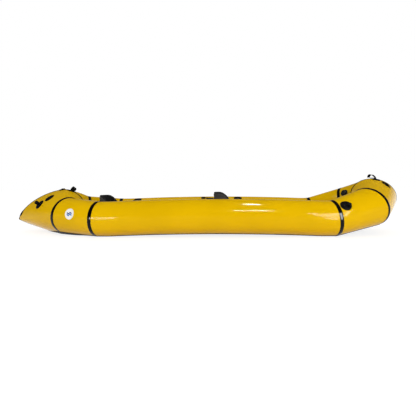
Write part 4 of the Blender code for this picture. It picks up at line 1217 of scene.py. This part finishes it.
def build_aft_strap(seat):
    """One strap behind the band, from tube to tube, with a small patch at each end."""
    node, band = f"{seat}_aft_strap", f"{seat}_backband"
    rows, widths = strap_rows(node, (0, 1, 0), AFT_STRAP_ROWS)
    made = ribbon(f"{node}_webbing", smooth_path(rows, 5), smooth_path(widths, 5))
    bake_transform(made)
    stand_in(made, node)
    for end, name in ((0, "right"), (-1, "left")):
        spot = skin_frame(rows[end])
        disc(f"{node}_patch_{name}", spot, (END_RADIUS, END_RADIUS), PATCH_FABRIC, top=0.0014)


def round_edges(node, width, finish):
    item = NODES[node]
    edge = item.modifiers.new("soft_edges", "BEVEL")
    assign(edge, {"width": width, "segments": 2, "limit_method": "ANGLE", "angle_limit": math.radians(40),
                  "harden_normals": False})
    item.data.materials.clear()
    item.data.materials.append(finish)


def build_seating():
    for seat, band, center_x in (("front", FRONT_BAND, FRONT_SEAT_X), ("rear", REAR_BAND, REAR_SEAT_X)):
        build_seat(f"{seat}_seat", center_x)
        build_seat_rim(f"{seat}_seat", center_x)
        build_backband(f"{seat}_backband", Band(*band))
        for side in SIDES:
            build_anchor(seat, side)
            build_fore_strap(seat, side)
            round_edges(f"{seat}_buckle_{side}", 0.0007, PLASTIC)
        build_aft_strap(seat)
        round_edges(f"{seat}_seat_valve_knob", 0.0006, PLASTIC)
    for node, finish in (("valve_base", PLASTIC), ("valve_cap", PLASTIC), ("valve_poppet", POPPET_PLASTIC)):
        round_edges(node, 0.0005, finish)


# Camera, light and floor

def build_camera():
    yaw, pitch, roll = CAMERA_YAW, CAMERA_PITCH, CAMERA_ROLL
    level = Vector((math.sin(yaw), math.cos(yaw), 0))
    right = Vector((math.cos(yaw), -math.sin(yaw), 0))
    ahead = level * math.cos(pitch) - Vector((0, 0, math.sin(pitch)))
    above = level * math.sin(pitch) + Vector((0, 0, math.cos(pitch)))
    across = right * math.cos(roll) - above * math.sin(roll)
    above = right * math.sin(roll) + above * math.cos(roll)
    data = bpy.data.cameras.new("photograph_camera")
    data.sensor_width = SENSOR_WIDTH
    data.lens = SENSOR_WIDTH * FOCAL_PIXELS / IMAGE_WIDTH
    data.clip_end = 100
    made = bpy.data.objects.new("photograph_camera", data)
    made.matrix_world = axes_frame(CAMERA_PLACE, across, above, -ahead)
    bpy.context.scene.collection.objects.link(made)
    bpy.context.scene.camera = made


def area_light(name, place, target, size, power, round_shape=False, gloss=True, body=True):
    """A soft lamp. It may be left out of reflections, or light them alone.

    A lamp that reflections leave out stands a little further back, where it can't cover its shining twin.
    """
    place = Vector(place) if gloss else Vector(target).lerp(Vector(place), TWIN_DISTANCE)
    data = bpy.data.lights.new(name, "AREA")
    data.shape = "ELLIPSE" if round_shape else "RECTANGLE"
    data.size, data.size_y = size
    data.energy = power
    made = bpy.data.objects.new(name, data)
    facing = (place - Vector(target)).to_track_quat("Z", "Y")
    made.matrix_world = Matrix.Translation(place) @ facing.to_matrix().to_4x4()
    made.visible_glossy, made.visible_diffuse = gloss, body
    bpy.context.scene.collection.objects.link(made)


def build_light():
    bow_lamp = ((2.475, -2.953, 1.05), (0.875, -0.533, 0.28), (1.30, 2.05))
    stern_lamp = ((-2.2, -3.65, 0.66), (-0.85, -0.46, 0.17), (0.9, 0.9))
    area_light("bow_softbox", *bow_lamp, 32, gloss=False)
    area_light("stern_octabox", *stern_lamp, 24, True, gloss=False)
    area_light("bow_softbox_shine", *bow_lamp, 276, body=False)
    area_light("stern_octabox_shine", *stern_lamp, 70, True, body=False)
    area_light("ceiling_panel_near", (0.83, -2.8, 2.5), (0.4, -0.45, 0.21), (0.68, 0.3), 75, body=False)
    area_light("ceiling_panel_over", (0.68, -0.35, 2.5), (0.4, -0.41, 0.26), (0.5, 0.22), 50, body=False)
    area_light("front_fill", (0.0, -5.5, 1.0), (0, 0, 0.1), (5.0, 1.6), 26, gloss=False)


def build_world():
    world = bpy.data.worlds.new("studio")
    bpy.context.scene.world = world
    world.use_nodes = True
    tree = world.node_tree
    tree.nodes.clear()
    room = add_node(tree, "ShaderNodeBackground", {"Color": (1, 1, 1, 1), "Strength": ROOM_LIGHT})
    seen = add_node(tree, "ShaderNodeBackground", {"Color": (1, 1, 1, 1), "Strength": studio_gloss(tree)})
    mix_shaders(tree, "ShaderNodeOutputWorld", seen_rays(tree), room, seen)


def mix_shaders(tree, output, share, first, last):
    mixed = add_node(tree, "ShaderNodeMixShader", {0: share, 1: first.outputs[0], 2: last.outputs[0]})
    add_node(tree, output, {"Surface": mixed.outputs[0]})


def studio_gloss(tree):
    """The background's strength: white, but reflections find the dark studio above the cove."""
    rays = add_node(tree, "ShaderNodeLightPath")
    rise = component(tree, add_node(tree, "ShaderNodeTexCoord").outputs["Generated"], "Z")
    darkness = ramp(tree, rise, *COVE_TOP, 0.0, 1 - STUDIO_DARK)
    hidden = math_node(tree, "MULTIPLY", darkness, rays.outputs["Is Glossy Ray"])
    return math_node(tree, "SUBTRACT", 1.0, hidden)


def seen_rays(tree):
    """1 for rays that show the background itself, straight or by mirror or glass."""
    rays = add_node(tree, "ShaderNodeLightPath")
    shown = math_node(tree, "MAXIMUM", rays.outputs["Is Camera Ray"], rays.outputs["Is Transmission Ray"])
    return math_node(tree, "MAXIMUM", shown, rays.outputs["Is Glossy Ray"])


def build_stage():
    """A pale floor that shows white to the camera, and keeps the boat's shadow."""
    half = 30.0
    corners = [(-half, -half, 0), (half, -half, 0), (half, half, 0), (-half, half, 0)]
    made = mesh_piece("studio_floor", corners, [[0, 1, 2, 3]], floor_paint(), body=None)


def floor_paint():
    made = bpy.data.materials.new("pale_floor")
    made.use_nodes = True
    tree = made.node_tree
    tree.nodes.clear()
    grain = noise(tree, object_vector(tree), 2.0, 3.0)
    paint = mix_color(tree, grain, (0.86, 0.86, 0.86, 1), (0.90, 0.90, 0.90, 1))
    matt = add_node(tree, "ShaderNodeBsdfDiffuse", {"Color": paint})
    glow = add_node(tree, "ShaderNodeEmission", {"Color": (1, 1, 1, 1), "Strength": FLOOR_GLOW})
    share = math_node(tree, "MULTIPLY", seen_rays(tree), FLOOR_GLOW_SHARE)
    mix_shaders(tree, "ShaderNodeOutputMaterial", share, matt, glow)
    return made


bpy.context.scene.view_settings.view_transform = "Standard"
build_camera()
build_tubes()
build_tapes()
build_floor()
build_tie_downs()
build_labels()
build_end_trim()
build_seating()
build_light()
build_world()
build_stage()
